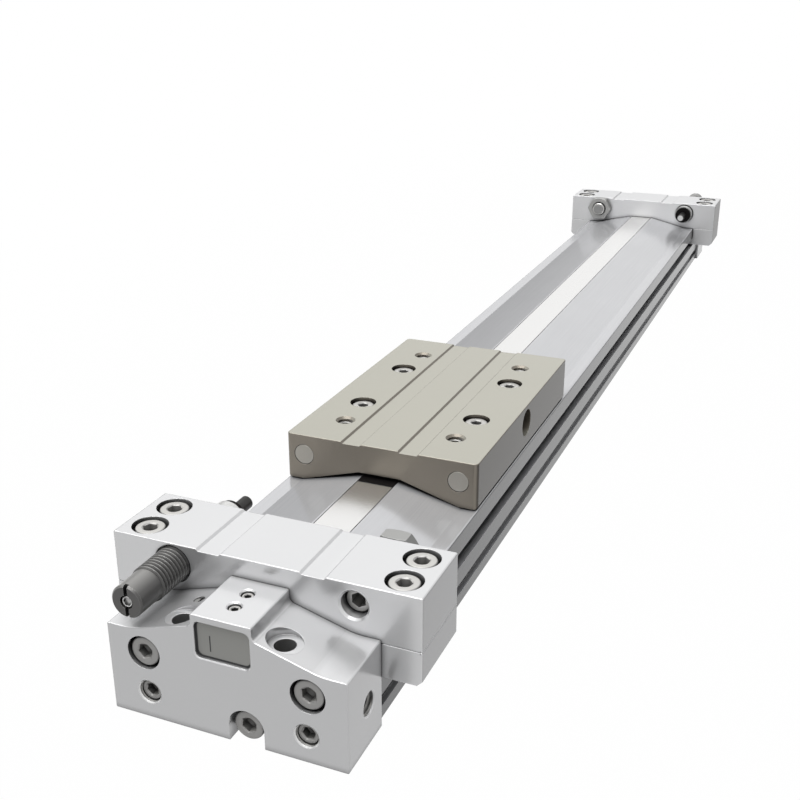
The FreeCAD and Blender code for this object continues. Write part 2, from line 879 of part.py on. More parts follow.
def absorber_body():
    """Threaded body of the near shock absorber, hollow, with a slotted tail."""
    thread_start = absorber_tail + absorber_plain_length
    root = absorber_radius - absorber_thread_depth
    corners = [
        (absorber_tail, 0),
        (absorber_tail, absorber_end_radius),
        (absorber_tail + edge_radius, absorber_plain_radius),
        (thread_start, absorber_plain_radius),
        (thread_start, root),
    ]
    turns = int((unit_front + absorber_relief_depth - thread_start) / absorber_thread_pitch)
    for turn in range(turns):
        crest = thread_start + (turn + 0.5) * absorber_thread_pitch
        corners.append((crest - absorber_thread_crest / 2, absorber_radius))
        corners.append((crest + absorber_thread_crest / 2, absorber_radius))
        corners.append((thread_start + (turn + 1) * absorber_thread_pitch, root))
    thread_end = thread_start + turns * absorber_thread_pitch
    corners += [
        (thread_end, absorber_radius),
        (absorber_face, absorber_radius),
        (absorber_face, absorber_chamber_radius),
        (absorber_tail + absorber_back_wall, absorber_chamber_radius),
        (absorber_tail + absorber_back_wall, 0),
    ]
    body = lathe(corners, stop_y, stop_height)
    slot = block((absorber_tail, absorber_tail + absorber_slot_depth),
                 (stop_y - absorber_slot_width / 2, stop_y + absorber_slot_width / 2),
                 (stop_height - absorber_radius, stop_height + absorber_radius))
    floor = absorber_tail + absorber_recess_depth
    recess = cylinder_x(absorber_recess_radius, absorber_tail, floor, stop_y, stop_height)
    socket = aimed(hex_socket(absorber_hex, absorber_hex_depth), (floor, stop_y, stop_height), (1, 0, 0))
    return body.cut([slot, recess, socket])


def absorber_collar():
    """Black rod guide and seal in the near absorber's mouth."""
    corners = [
        (absorber_face - collar_depth, rod_radius + rod_clearance),
        (absorber_face - collar_depth, absorber_chamber_radius),
        (absorber_face, absorber_chamber_radius),
        (absorber_face, collar_radius),
        (absorber_face + collar_length, collar_radius),
        (absorber_face + collar_length, rod_radius + rod_clearance),
    ]
    return lathe(corners, stop_y, stop_height)


def rod_piston_start():
    """x of the back of the near absorber's inner piston when the rod is out."""
    return absorber_face - collar_depth - rod_clearance - rod_piston_length


def absorber_rod():
    """Rod of the near shock absorber with its inner piston."""
    start = rod_piston_start()
    corners = [
        (start, 0),
        (start, rod_piston_radius),
        (start + rod_piston_length, rod_piston_radius),
        (start + rod_piston_length, rod_radius),
        (rod_tip - rod_tip_edge, rod_radius),
        (rod_tip, rod_radius - rod_tip_edge),
        (rod_tip, 0),
    ]
    return lathe(corners, stop_y, stop_height)


def absorber_spring():
    """Return spring between the near absorber's inner piston and its back wall."""
    start = absorber_tail + absorber_back_wall + spring_wire_radius + spring_end_gap
    height = rod_piston_start() - spring_end_gap - spring_wire_radius - start
    path = Part.makeHelix(height / spring_turns, height, spring_radius)
    ring = Part.Wire(Part.Circle(V(spring_radius, 0, 0), V(0, 1, 0), spring_wire_radius).toShape())
    coil = Part.Wire(path).makePipeShell([ring], True, True)
    return aimed(coil, (start, stop_y, stop_height), (-1, 0, 0))


def seal_band_route():
    """(x, z) of the inner band's middle line along the near half of the carriage."""
    middle = bore_top + seal_band_thickness / 2
    return [(-band_dip_start, middle), (-band_dip_end, middle - band_dip)]


def dust_band_route():
    """(x, z) of the outer band's middle line along the near half of the carriage."""
    low = tube_height - dust_band_thickness / 2
    high = yoke_plate_top + band_gap + dust_band_thickness / 2
    return [(-band_rise_start, low), (-band_rise_end, high)]


def band(route, thickness, width, ends):
    """Band that runs flat, passes the yoke along a route and runs flat again."""
    near = [(carriage_x + x, z) for x, z in route]
    far = [(carriage_x - x, z) for x, z in reversed(route)]
    line = [(ends[0], route[0][1])] + near + far + [(ends[1], route[0][1])]
    count = len(line)
    bend = band_bend_radius
    upper = []
    lower = []
    for i in range(count):
        x, z = line[i]
        if i in (0, count - 1):
            upper.append((x, z + thickness / 2))
            lower.append((x, z - thickness / 2))
            continue
        before = V(x - line[i - 1][0], z - line[i - 1][1], 0).normalize()
        after = V(line[i + 1][0] - x, line[i + 1][1] - z, 0).normalize()
        across = (V(-before.y, before.x, 0) + V(-after.y, after.x, 0)).normalize()
        reach = thickness / 2 / math.cos(before.getAngle(after) / 2)
        turns_up = before.x * after.y - before.y * after.x > 0
        upper.append((x + across.x * reach, z + across.y * reach, bend if turns_up else bend + thickness))
        lower.append((x - across.x * reach, z - across.y * reach, bend + thickness if turns_up else bend))
    return across_y(lower + list(reversed(upper)), -width / 2, width / 2)


def band_ends():
    """x where both bands end, inside the clamps."""
    end = near_front + clamp_recess + clamp_length - clamp_slot_depth
    return end, -end


def dust_band():
    """Outer band over the slit, lifted over the yoke's plate."""
    return band(dust_band_route(), dust_band_thickness, dust_band_width, band_ends())


def seal_band():
    """Inner band under the slit, led down through the yoke."""
    return band(seal_band_route(), seal_band_thickness, seal_band_width, band_ends())


def carriage_span(half_length):
    """x limits of something centred on the carriage."""
    return carriage_x - half_length, carriage_x + half_length


def table_body():
    """Plain carriage table with a stepped underside."""
    side = carriage_width / 2
    half = [
        (carriage_flat_width / 2, carriage_flat_height),
        (carriage_slope_width / 2, carriage_edge_height),
        (side, carriage_edge_height, carriage_bottom_radius),
        (side, carriage_top),
    ]
    start, end = carriage_span(carriage_length / 2)
    plan = [(x, y, carriage_corner_radius)
            for x, y in ((start, -side), (end, -side), (end, side), (start, side))]
    upright = closed_face(plan, lambda x, y: V(x, y, 0)).extrude(V(0, 0, carriage_top))
    body = along_x(mirrored(half), start, end).common(upright)
    return eased(body, edge_break, lambda edge: edge.BoundBox.ZMin > carriage_top - tolerance)


def carriage_table():
    """Carriage table with its grooves, holes, counterbores and the pocket for the yoke."""
    start, end = carriage_span(carriage_length / 2)
    cuts = []
    for side in (1, -1):
        limits = sorted((side * table_groove_inner, side * table_groove_outer))
        cuts.append(groove((start, end), limits, carriage_top, table_groove_depth))
        mouth_y = side * carriage_width / 2
        floor_y = side * (carriage_width / 2 - side_hole_depth)
        cuts.append(cylinder_y(side_hole_radius, min(mouth_y, floor_y), max(mouth_y, floor_y), carriage_x,
                               side_hole_height))
    hole = threaded_mouth(table_hole_radius, table_hole_mouth, table_hole_depth)
    for x, y in corner_places(table_hole_x, table_hole_y):
        cuts.append(aimed(hole, (x, y, carriage_top), (0, 0, -1)))
    for x, y in corner_places(table_screw_x, table_screw_y):
        cuts.append(counterbored((x, y, carriage_top), (0, 0, -1), table_screw_recess,
                                 carriage_top - carriage_edge_height, table_counterbore_radius,
                                 table_screw_head_height))
    cuts += disc_seats()
    pocket = carriage_span(yoke_plate_length / 2 + yoke_pocket_clearance)
    cuts.append(centred_block(pocket, yoke_plate_width + 2 * yoke_pocket_clearance, (0, yoke_plate_top)))
    channel = carriage_span(channel_length / 2)
    cuts.append(centred_block(channel, channel_width, (0, channel_height)))
    scraper_span = carriage_span(carriage_length / 2 - scraper_inset)
    cuts.append(centred_block(scraper_span, scraper_width, (0, scraper_top)).cut(
        centred_block(channel, scraper_width, (0, scraper_top))))
    for x in (carriage_x - roller_x, carriage_x + roller_x):
        half_shaft = roller_shaft_length / 2
        cuts.append(cylinder_y(roller_shaft_radius, -half_shaft, half_shaft, x, roller_height()))
    cuts += bearing_pads()
    return table_body().cut(cuts)


def corner_places(x, y):
    """Four points of a rectangle centred on the carriage."""
    return [(carriage_x + sx * x, sy * y) for sx in (-1, 1) for sy in (1, -1)]


def carriage_screws():
    """Four low cap screws that hold the table to the yoke's plate."""
    screw = cap_screw(table_screw_length - table_screw_head_height, table_screw_head_radius,
                      table_screw_head_height)
    top = carriage_top - table_screw_recess
    return [aimed(screw, (x, y, top), (0, 0, -1)) for x, y in corner_places(table_screw_x, table_screw_y)]


def disc_seats():
    """Seats of the stop discs in both ends of the table."""
    start = carriage_x - carriage_length / 2
    near = [cylinder_x(disc_radius, start, start + disc_thickness, side * stop_y, disc_height)
            for side in (1, -1)]
    return near + [turned_on_carriage(disc) for disc in near]


def stop_discs():
    """Hardened discs let into both ends of the table, facing the stops."""
    ends = carriage_span(carriage_length / 2)
    discs = []
    for seat, end in zip(disc_seats(), (ends[0], ends[0], ends[1], ends[1])):
        rim = [edge for edge in seat.Edges if lies_on_x(edge, end)]
        discs.append(seat.makeChamfer(disc_edge, rim))
    return discs


def yoke_plate_outline():
    """Half outline of the yoke's plate, which follows the tube's top."""
    half_width = yoke_plate_width / 2
    return [
        (tube_flat_width / 2, tube_height + yoke_gap),
        (half_width, slope_at(half_width, yoke_gap)),
        (half_width, yoke_plate_top),
    ]


def piston_yoke():
    """Yoke: a plate under the table, a web through the slit and a body in the bore."""
    plate = along_x(mirrored(yoke_plate_outline()), *carriage_span(yoke_plate_length / 2))
    body = oval(bore_width - 2 * yoke_body_clearance, bore_height - 2 * yoke_body_clearance,
                *carriage_span(yoke_body_length / 2))
    web = centred_block(carriage_span(web_length / 2), web_width, (bore_axis_height, yoke_plate_top))
    yoke = plate.fuse([body, web]).removeSplitter()
    envelope = band(seal_band_route(), seal_band_thickness + 2 * envelope_clearance,
                    seal_band_width + 2 * envelope_clearance, carriage_span(carriage_length / 2))
    cuts = [envelope]
    for x, y in corner_places(table_screw_x, table_screw_y):
        cuts.append(cylinder_z(screw_radius + thread_clearance, tube_edge_height, yoke_plate_top, x, y))
    cuts += piston_dowels()
    cuts += piston_magnets()
    return yoke.cut(cuts)


def piston_dowels():
    """Dowels that join the pistons to the yoke's body."""
    joint = carriage_x - yoke_body_length / 2
    near = [cylinder_x(dowel_radius, joint - dowel_half_length, joint + dowel_half_length, side * dowel_y,
                       bore_axis_height) for side in (1, -1)]
    return near + [turned_on_carriage(dowel) for dowel in near]


def piston_magnets():
    """Magnets let into both sides of the yoke's body."""
    outside = bore_width / 2 - yoke_body_clearance
    near = [cylinder_y(magnet_radius, outside - magnet_thickness - yoke_body_clearance,
                       outside - yoke_body_clearance, carriage_x - magnet_x, bore_axis_height)]
    near += [near[0].mirror(V(0, 0, 0), V(0, 1, 0))]
    return near + [turned_on_carriage(magnet) for magnet in near]


def piston_ring(start, width, outer_gap, inner_gap):
    """Ring round the near piston, between two clearances from the bore."""
    first = carriage_x - piston_face + start
    last = first + width
    ring = oval(bore_width - 2 * outer_gap, bore_height - 2 * outer_gap, first, last)
    return ring.cut(oval(bore_width - 2 * inner_gap, bore_height - 2 * inner_gap, first, last))


def piston():
    """Near piston with grooves for its seal and wear ring and a bore for the cushion spigot."""
    start = carriage_x - piston_face
    end = start + piston_length
    body = oval(bore_width - 2 * piston_clearance, bore_height - 2 * piston_clearance, start, end)
    cuts = [
        piston_ring(seal_groove_start, seal_groove_width, 0, piston_clearance + seal_groove_depth),
        piston_ring(wear_groove_start, wear_groove_width, 0, piston_clearance + wear_groove_depth),
        cylinder_x(piston_bore_radius, start, start + piston_bore_depth, 0, bore_axis_height),
    ]
    return body.cut(cuts + piston_dowels())


def piston_seal():
    """Seal of the near piston."""
    return piston_ring(seal_groove_start, seal_groove_width, seal_running_gap,
                       piston_clearance + seal_groove_depth)


def wear_ring():
    """Wear ring of the near piston."""
    return piston_ring(wear_groove_start, wear_groove_width, seal_running_gap,
                       piston_clearance + wear_groove_depth)


def band_guide():
    """Wedge on the near end of the yoke's plate that leads the outer band up."""
    joint = carriage_x - yoke_plate_length / 2
    low_point, high_point = dust_band_route()
    rise = (high_point[1] - low_point[1]) / (high_point[0] - low_point[0])
    drop = (dust_band_thickness / 2 + band_gap) * math.sqrt(1 + rise ** 2)
    low = tube_height + guide_floor_gap

    def under_band(z):
        return carriage_x + low_point[0] + (z - low_point[1] + drop) / rise

    corners = [
        (joint, low),
        (under_band(low), low),
        (under_band(yoke_plate_top), yoke_plate_top),
        (joint, yoke_plate_top),
    ]
    return across_y(corners, -dust_band_width / 2, dust_band_width / 2)


def scraper():
    """Rubber scraper in the near end of the table, over the outer band."""
    start = carriage_x - carriage_length / 2 + scraper_inset
    return centred_block((start, carriage_x - channel_length / 2), scraper_width,
                         (tube_height + band_running_gap, scraper_top))


def roller_height():
    """Height of the guide rollers' axis."""
    return tube_height + band_running_gap + roller_radius


def guide_roller():
    """Near roller over the outer band."""
    x = carriage_x - roller_x
    half = roller_width / 2
    hole_radius = roller_shaft_radius + roller_bore_clearance
    body = cylinder_y(roller_radius, -half, half, x, roller_height())
    return body.cut(cylinder_y(hole_radius, -half, half, x, roller_height()))


def roller_shafts():
    """Shafts of both guide rollers."""
    half = roller_shaft_length / 2
    near = cylinder_y(roller_shaft_radius, -half, half, carriage_x - roller_x, roller_height())
    return [near, turned_on_carriage(near)]


def bearing_pads():
    """Four slide bearing pads between the table and the tube's slopes."""
    corners = [
        (pad_inner, slope_at(pad_inner, pad_running_gap)),
        (pad_outer, slope_at(pad_outer, pad_running_gap)),
        (pad_outer, slope_at(pad_outer, pad_running_gap + pad_thickness)),
        (pad_inner, slope_at(pad_inner, pad_running_gap + pad_thickness)),
    ]
    near = both_sides(along_x(corners, carriage_x - pad_start - pad_length, carriage_x - pad_start))
    return near + [turned_on_carriage(pad) for pad in near]


def save(node, shapes):
    """Write one node, made of one solid or of a group of them."""
    solids = shapes if isinstance(shapes, list) else [shapes]
    shape = solids[0] if len(solids) == 1 else Part.makeCompound(solids)
    shape.exportStep("parts/" + node + ".step")
    count = len(shape.Solids)
    print(node, count, round(shape.Volume, 1), shape.isValid())


def save_pair(node, shapes):
    """Write a near piece and the same piece at the far end of the cylinder."""
    near = shapes if isinstance(shapes, list) else [shapes]
    save(node + "_near", near)
    save(node + "_far", [turned(shape) for shape in near])


def save_carriage_pair(node, shape):
    """Write a near piece and the same piece at the far end of the carriage."""
    save(node + "_near", shape)
    save(node + "_far", turned_on_carriage(shape))


os.makedirs("parts", exist_ok=True)

save("cylinder_tube", tube())
save("dust_band", dust_band())
save("seal_band", seal_band())
save_pair("head_cover", head_cover())
save_pair("band_clamp", band_clamp())
save("band_clamp_screws", band_clamp_screws())
save_pair("cover_gasket", gasket_ring())
save_pair("cover_screws", cover_screws())
save("port_plugs", port_plugs())
save_pair("cushion_needle", cushion_needle())
save_pair("cushion_spigot", cushion_spigot())

save_pair("adjusting_unit", adjusting_unit())
left, right = both_sides(clamp_bracket())
save_pair("clamp_bracket_left", left)
save_pair("clamp_bracket_right", right)
save_pair("unit_screws", unit_screws())
save_pair("stop_bolt", stop_bolt())
save_pair("stop_bumper", stop_bumper())
save_pair("stop_nut", stop_nut())
save_pair("absorber_body", absorber_body())
save_pair("absorber_collar", absorber_collar())
save_pair("absorber_rod", absorber_rod())
save_pair("absorber_spring", absorber_spring())

save("carriage_table", carriage_table())
save("carriage_screws", carriage_screws())
save("stop_discs", stop_discs())
save("piston_yoke", piston_yoke())
save("piston_dowels", piston_dowels())
save("piston_magnets", piston_magnets())
save_carriage_pair("piston", piston())
save_carriage_pair("piston_seal", piston_seal())
save_carriage_pair("wear_ring", wear_ring())
save_carriage_pair("band_guide", band_guide())
save_carriage_pair("scraper", scraper())
save_carriage_pair("guide_roller", guide_roller())
save("roller_shafts", roller_shafts())
save("bearing_pads", bearing_pads())
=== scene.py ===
"""Looks of a rodless pneumatic cylinder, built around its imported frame. Metres, +Z up."""
import logging
import math
import random
from dataclasses import dataclass, field, replace
from enum import Enum
from typing import Sequence

import bmesh
import bpy
from mathutils import Matrix, Quaternion, Vector


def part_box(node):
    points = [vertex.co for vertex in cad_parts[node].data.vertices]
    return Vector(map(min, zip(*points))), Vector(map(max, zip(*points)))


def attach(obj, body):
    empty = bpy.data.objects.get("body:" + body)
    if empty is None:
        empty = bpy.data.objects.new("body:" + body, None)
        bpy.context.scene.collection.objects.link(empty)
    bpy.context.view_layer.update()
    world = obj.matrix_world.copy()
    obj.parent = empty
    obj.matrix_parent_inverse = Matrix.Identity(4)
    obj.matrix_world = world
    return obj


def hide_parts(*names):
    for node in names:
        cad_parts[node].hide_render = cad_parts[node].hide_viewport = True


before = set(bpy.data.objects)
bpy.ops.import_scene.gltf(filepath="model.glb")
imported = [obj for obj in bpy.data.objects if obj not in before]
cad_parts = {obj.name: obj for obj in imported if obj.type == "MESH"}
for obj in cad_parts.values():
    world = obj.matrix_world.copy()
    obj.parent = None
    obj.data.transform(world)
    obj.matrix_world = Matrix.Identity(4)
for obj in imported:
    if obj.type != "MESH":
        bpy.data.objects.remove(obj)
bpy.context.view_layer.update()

MM = 0.001
LOG = logging.getLogger("cylinder")

Color = tuple[float, float, float]


class End(Enum):
    """The two ends of the cylinder. The far end is the near one turned half round."""

    NEAR = "near"
    FAR = "far"

    @property
    def turn(self) -> Matrix:
        """Matrix that takes a near piece to this end."""
        return Matrix.Rotation(0.0 if self is End.NEAR else math.pi, 4, "Z")


class Grain(Enum):
    """How the fine texture of a finish runs."""

    SPECKLE = "speckle"
    LENGTHWISE = "lengthwise"
    MILLED = "milled"


class Section(Enum):
    """Shape of one ring of a turned piece."""

    ROUND = "round"
    HEXAGON = "hexagon"


@dataclass(frozen=True)
class Ring:
    """One ring of a turned piece. A hexagon's radius is half its width across flats."""

    height: float
    radius: float
    section: Section = Section.ROUND

    def reach(self, angle: float) -> float:
        """Distance from the axis at an angle."""
        if self.section is Section.ROUND:
            return self.radius
        return self.radius / math.cos(angle % (math.pi / 3) - math.pi / 6)


@dataclass(frozen=True)
class Finish:
    """One surface finish: its colour, gloss and fine texture, with the painted light and shade that lie on
    its colour.
    """

    name: str
    color: Color
    metallic: float
    roughness: float
    grain: Grain = Grain.SPECKLE
    grain_size: float = 0.35 * MM
    tone: float = 0.03
    relief: float = 0.0
    cloud: float = 0.03
    # Painted light and shade: a lighter colour on faces that look up, a highlight along edges, shade in
    # crevices, and darker faces looking sideways, forwards or down gentle slopes.
    lit_top_color: Color | None = None
    lit_top_span: tuple[float, float] = (0.74, 0.95)
    edge_radius: float = 0.0
    edge_highlight: float = 0.0
    crevice_shade: float = 0.88
    crevice_shade_reach: float = 2.4 * MM
    crevice_shade_open: float = 0.85
    crevice_shade_full: float = 0.15
    side_shade: float = 1.0
    slope_shade: float = 1.0
    front_shade: float = 1.0
    specular: float = 0.5

    def stretch(self) -> Vector:
        """How far the grain is drawn out along each axis.

        Returns:
            The scale of its coordinates along X, Y and Z.
        """
        if self.grain is Grain.LENGTHWISE:
            return Vector((0.008, 1.0, 1.0))
        if self.grain is Grain.MILLED:
            return Vector((1.0, 0.03, 1.0))
        return Vector((1.0, 1.0, 1.0))

    def material(self) -> bpy.types.Material:
        """Material of this finish, made the first time it is asked for.

        The frame has already made a plain material for each slot of the record, so no
        finish has the name of a slot.

        Returns:
            The Blender material.
        """
        known = bpy.data.materials.get(self.name)
        if known is not None:
            return known
        sheet = NodeSheet(self.name)
        shader = sheet.shader
        shader.inputs["Metallic"].default_value = self.metallic
        shader.inputs["Specular IOR Level"].default_value = self.specular
        shader.inputs["Roughness"].default_value = self.roughness
        place = sheet.add("ShaderNodeTexCoord").outputs["Object"]
        drawn = sheet.add("ShaderNodeMapping")
        drawn.inputs["Scale"].default_value = self.stretch()
        sheet.link(place, drawn.inputs["Vector"])
        grain = sheet.noise(drawn.outputs["Vector"], 1.0 / self.grain_size, 3.0)
        cloud = sheet.noise(place, 45.0, 2.0)
        tone = sheet.span(grain, 1.0 - self.tone, 1.0 + self.tone)
        drift = sheet.span(cloud, 1.0 - self.cloud, 1.0 + self.cloud)
        base: Color | bpy.types.NodeSocket = (*self.color, 1.0)
        # Painted highlight: faces that look up get the lighter top colour.
        if self.lit_top_color is not None:
            base = sheet.painted_top_light(self)
        # Painted shade in crevices, holes and inner corners, times the random tone of the grain.
        shade = sheet.product(sheet.product(tone, drift), sheet.crevice_shades(self))
        # Painted shade on faces that look along X or Y, and on gentle slopes.
        for axis, amount in (("X", self.front_shade), ("Y", self.side_shade)):
            if amount < 1.0:
                shade = sheet.product(shade, sheet.along(axis, amount))
        if self.slope_shade < 1.0:
            shade = sheet.product(shade, sheet.painted_slope_shade(self.slope_shade))
        color = sheet.scaled(base, shade)
        normal = None
        # Painted highlight along edges, on top of the rounded edge normals.
        if self.edge_radius:
            normal, edge = sheet.edges(self.edge_radius)
            color = sheet.painted_highlight(color, edge, self.edge_highlight)
        sheet.link(color, shader.inputs["Base Color"])
        if self.relief:
            normal = sheet.bump(grain, self.relief, normal)
        if normal is not None:
            sheet.link(normal, shader.inputs["Normal"])
        return sheet.material


class NodeSheet:
    """Node tree of one material, with short calls for the nodes that feed its shader."""

    def __init__(self, name: str) -> None:
        """Makes a material with one Principled shader.

        Args:
            name: name of the material.
        """
        self.material = bpy.data.materials.new(name)
        self.material.use_nodes = True
        self.nodes = self.material.node_tree.nodes
        self.links = self.material.node_tree.links
        self.shader = self.nodes["Principled BSDF"]

    def add(self, kind: str) -> bpy.types.Node:
        """New node of a kind."""
        return self.nodes.new(kind)

    def link(self, source: bpy.types.NodeSocket, target: bpy.types.NodeSocket) -> None:
        """Joins two sockets."""
        self.links.new(source, target)

    def noise(self, place: bpy.types.NodeSocket, scale: float, detail: float) -> bpy.types.NodeSocket:
        """Noise from about 0 to 1.

        Args:
            place: coordinates to read it at.
            scale: how many features fit in a metre.
            detail: how many finer layers it has.

        Returns:
            The noise's value.
        """
        node = self.add("ShaderNodeTexNoise")
        node.inputs["Scale"].default_value = scale
        node.inputs["Detail"].default_value = detail
        self.link(place, node.inputs["Vector"])
        return node.outputs["Fac"]

    def span(self, value: bpy.types.NodeSocket, low: float, high: float) -> bpy.types.NodeSocket:
        """Noise spread from a low to a high value.

        Args:
            value: noise, mostly between 0.2 and 0.8.
            low: value where the noise is low.
            high: value where it is high.

        Returns:
            The spread value.
        """
        return self.ramp(value, (0.2, 0.8), (low, high))

    def ramp(self, value: bpy.types.NodeSocket, source: tuple[float, float],
             target: tuple[float, float]) -> bpy.types.NodeSocket:
        """A value moved from one range to another and held inside it.

        Args:
            value: the value.
            source: its range.
            target: the range that it is moved to.

        Returns:
            The moved value.
        """
        node = self.add("ShaderNodeMapRange")
        node.inputs["From Min"].default_value, node.inputs["From Max"].default_value = source
        node.inputs["To Min"].default_value, node.inputs["To Max"].default_value = target
        self.link(value, node.inputs["Value"])
        return node.outputs["Result"]

    def product(self, first: bpy.types.NodeSocket, second: bpy.types.NodeSocket) -> bpy.types.NodeSocket:
        """Two values multiplied.

        Args:
            first: a value.
            second: another value.

        Returns:
            Their product.
        """
        node = self.add("ShaderNodeMath")
        node.operation = "MULTIPLY"
        self.link(first, node.inputs[0])
        self.link(second, node.inputs[1])
        return node.outputs["Value"]

    def scaled(self, color: Sequence[float] | bpy.types.NodeSocket,
               factor: bpy.types.NodeSocket) -> bpy.types.NodeSocket:
        """A colour made lighter or darker by a factor.

        Args:
            color: a colour, or the socket that gives one.
            factor: what each channel is multiplied by.

        Returns:
            The new colour.
        """
        node = self.add("ShaderNodeVectorMath")
        node.operation = "SCALE"
        if isinstance(color, bpy.types.NodeSocket):
            self.link(color, node.inputs[0])
        else:
            node.inputs[0].default_value = color[:3]
        self.link(factor, node.inputs["Scale"])
        return node.outputs["Vector"]

    def painted_highlight(self, color: bpy.types.NodeSocket, mask: bpy.types.NodeSocket,
               gain: float) -> bpy.types.NodeSocket:
        """Painted highlight: a colour that turns lighter where a mask is high.

        Args:
            color: the colour.
            mask: where it is lighter, from 0 to 1.
            gain: how much is added there.

        Returns:
            The new colour.
        """
        node = self.add("ShaderNodeMix")
        node.data_type = "RGBA"
        node.blend_type = "ADD"
        node.inputs["B"].default_value = (gain, gain, gain, 1.0)
        self.link(mask, node.inputs["Factor"])
        self.link(color, node.inputs["A"])
        return node.outputs["Result"]

    def painted_top_light(self, finish: Finish) -> bpy.types.NodeSocket:
        """Painted light: the plain colour on upright faces and a lighter top colour, a painted highlight, on
        faces that look up and lean to +Y.

        Args:
            finish: the finish with both colours.

        Returns:
            The colour.
        """
        split = self.normal_parts()
        lean = self.add("ShaderNodeMath")
        lean.operation = "MULTIPLY_ADD"
        lean.inputs[1].default_value = 0.35
        self.link(split.outputs["Y"], lean.inputs[0])
        self.link(split.outputs["Z"], lean.inputs[2])
        node = self.add("ShaderNodeMix")
        node.data_type = "RGBA"
        node.inputs["A"].default_value = (*finish.color, 1.0)
        node.inputs["B"].default_value = (*finish.lit_top_color, 1.0)
        self.link(self.ramp(lean.outputs["Value"], finish.lit_top_span, (0.0, 1.0)), node.inputs["Factor"])
        return node.outputs["Result"]

    def edges(self, radius: float) -> tuple[bpy.types.NodeSocket, bpy.types.NodeSocket]:
        """Rounded normals along edges, and a mask of where they are, which places a painted highlight.

        Args:
            radius: how wide the rounding is.

        Returns:
            The normal and the mask.
        """
        bevel = self.add("ShaderNodeBevel")
        bevel.samples = 4
        bevel.inputs["Radius"].default_value = radius
        dot = self.add("ShaderNodeVectorMath")
        dot.operation = "DOT_PRODUCT"
        self.link(bevel.outputs["Normal"], dot.inputs[0])
        self.link(self.add("ShaderNodeNewGeometry").outputs["Normal"], dot.inputs[1])
        return bevel.outputs["Normal"], self.ramp(dot.outputs["Value"], (0.995, 0.85), (0.0, 1.0))

    def crevice_shades(self, finish: Finish) -> bpy.types.NodeSocket:
        """Painted shade from ambient occlusion: 1 on open faces, and less in gaps, holes and inner corners.

        Args:
            finish: the finish that says how deep and how wide the painted shade is.

        Returns:
            The factor for the colour.
        """
        shade = self.add("ShaderNodeAmbientOcclusion")
        shade.samples = 12
        shade.inputs["Distance"].default_value = finish.crevice_shade_reach
        return self.ramp(shade.outputs["AO"], (finish.crevice_shade_full, finish.crevice_shade_open),
                         (1.0 - finish.crevice_shade, 1.0))

    def normal_parts(self) -> bpy.types.Node:
        """The parts of the surface's own direction.

        Returns:
            The node whose outputs are X, Y and Z.
        """
        split = self.add("ShaderNodeSeparateXYZ")
        self.link(self.add("ShaderNodeTexCoord").outputs["Normal"], split.inputs["Vector"])
        return split

    def along(self, axis: str, tone: float) -> bpy.types.NodeSocket:
        """Painted shade: a factor that darkens faces that look along an axis, and 1 elsewhere.

        Args:
            axis: X or Y.
            tone: the painted shade factor on those faces.

        Returns:
            The factor.
        """
        across = self.add("ShaderNodeMath")
        across.operation = "ABSOLUTE"
        self.link(self.normal_parts().outputs[axis], across.inputs[0])
        return self.ramp(across.outputs["Value"], (0.6, 0.9), (1.0, tone))

    def painted_slope_shade(self, tone: float) -> bpy.types.NodeSocket:
        """Painted shade: a factor that darkens faces that slope gently, and 1 on level and on steep ones.

        Args:
            tone: the painted shade factor on those slopes.

        Returns:
            The factor.
        """
        upward = self.normal_parts().outputs["Z"]
        mask = self.product(self.ramp(upward, (0.985, 0.955), (0.0, 1.0)),
                            self.ramp(upward, (0.80, 0.88), (0.0, 1.0)))
        return self.ramp(mask, (0.0, 1.0), (1.0, tone))

    def seen(self) -> bpy.types.NodeSocket:
        """Which rays see the white surroundings.

        Returns:
            1 for camera, glossy and transmission rays, else 0.
        """
        path = self.add("ShaderNodeLightPath")
        value = path.outputs["Is Camera Ray"]
        for kind in ("Is Glossy Ray", "Is Transmission Ray"):
            node = self.add("ShaderNodeMath")
            node.operation = "MAXIMUM"
            self.link(value, node.inputs[0])
            self.link(path.outputs[kind], node.inputs[1])
            value = node.outputs["Value"]
        return value

    def bump(self, height: bpy.types.NodeSocket, depth: float,
             normal: bpy.types.NodeSocket | None) -> bpy.types.NodeSocket:
        """Normal of a fine relief.

        Args:
            height: relief from 0 to 1.
            depth: how deep it is.
            normal: the normal that it starts from, if it isn't the surface's own.

        Returns:
            The new normal.
        """
        node = self.add("ShaderNodeBump")
        node.inputs["Distance"].default_value = depth
        self.link(height, node.inputs["Height"])
        if normal is not None:
            self.link(normal, node.inputs["Normal"])
        return node.outputs["Normal"]


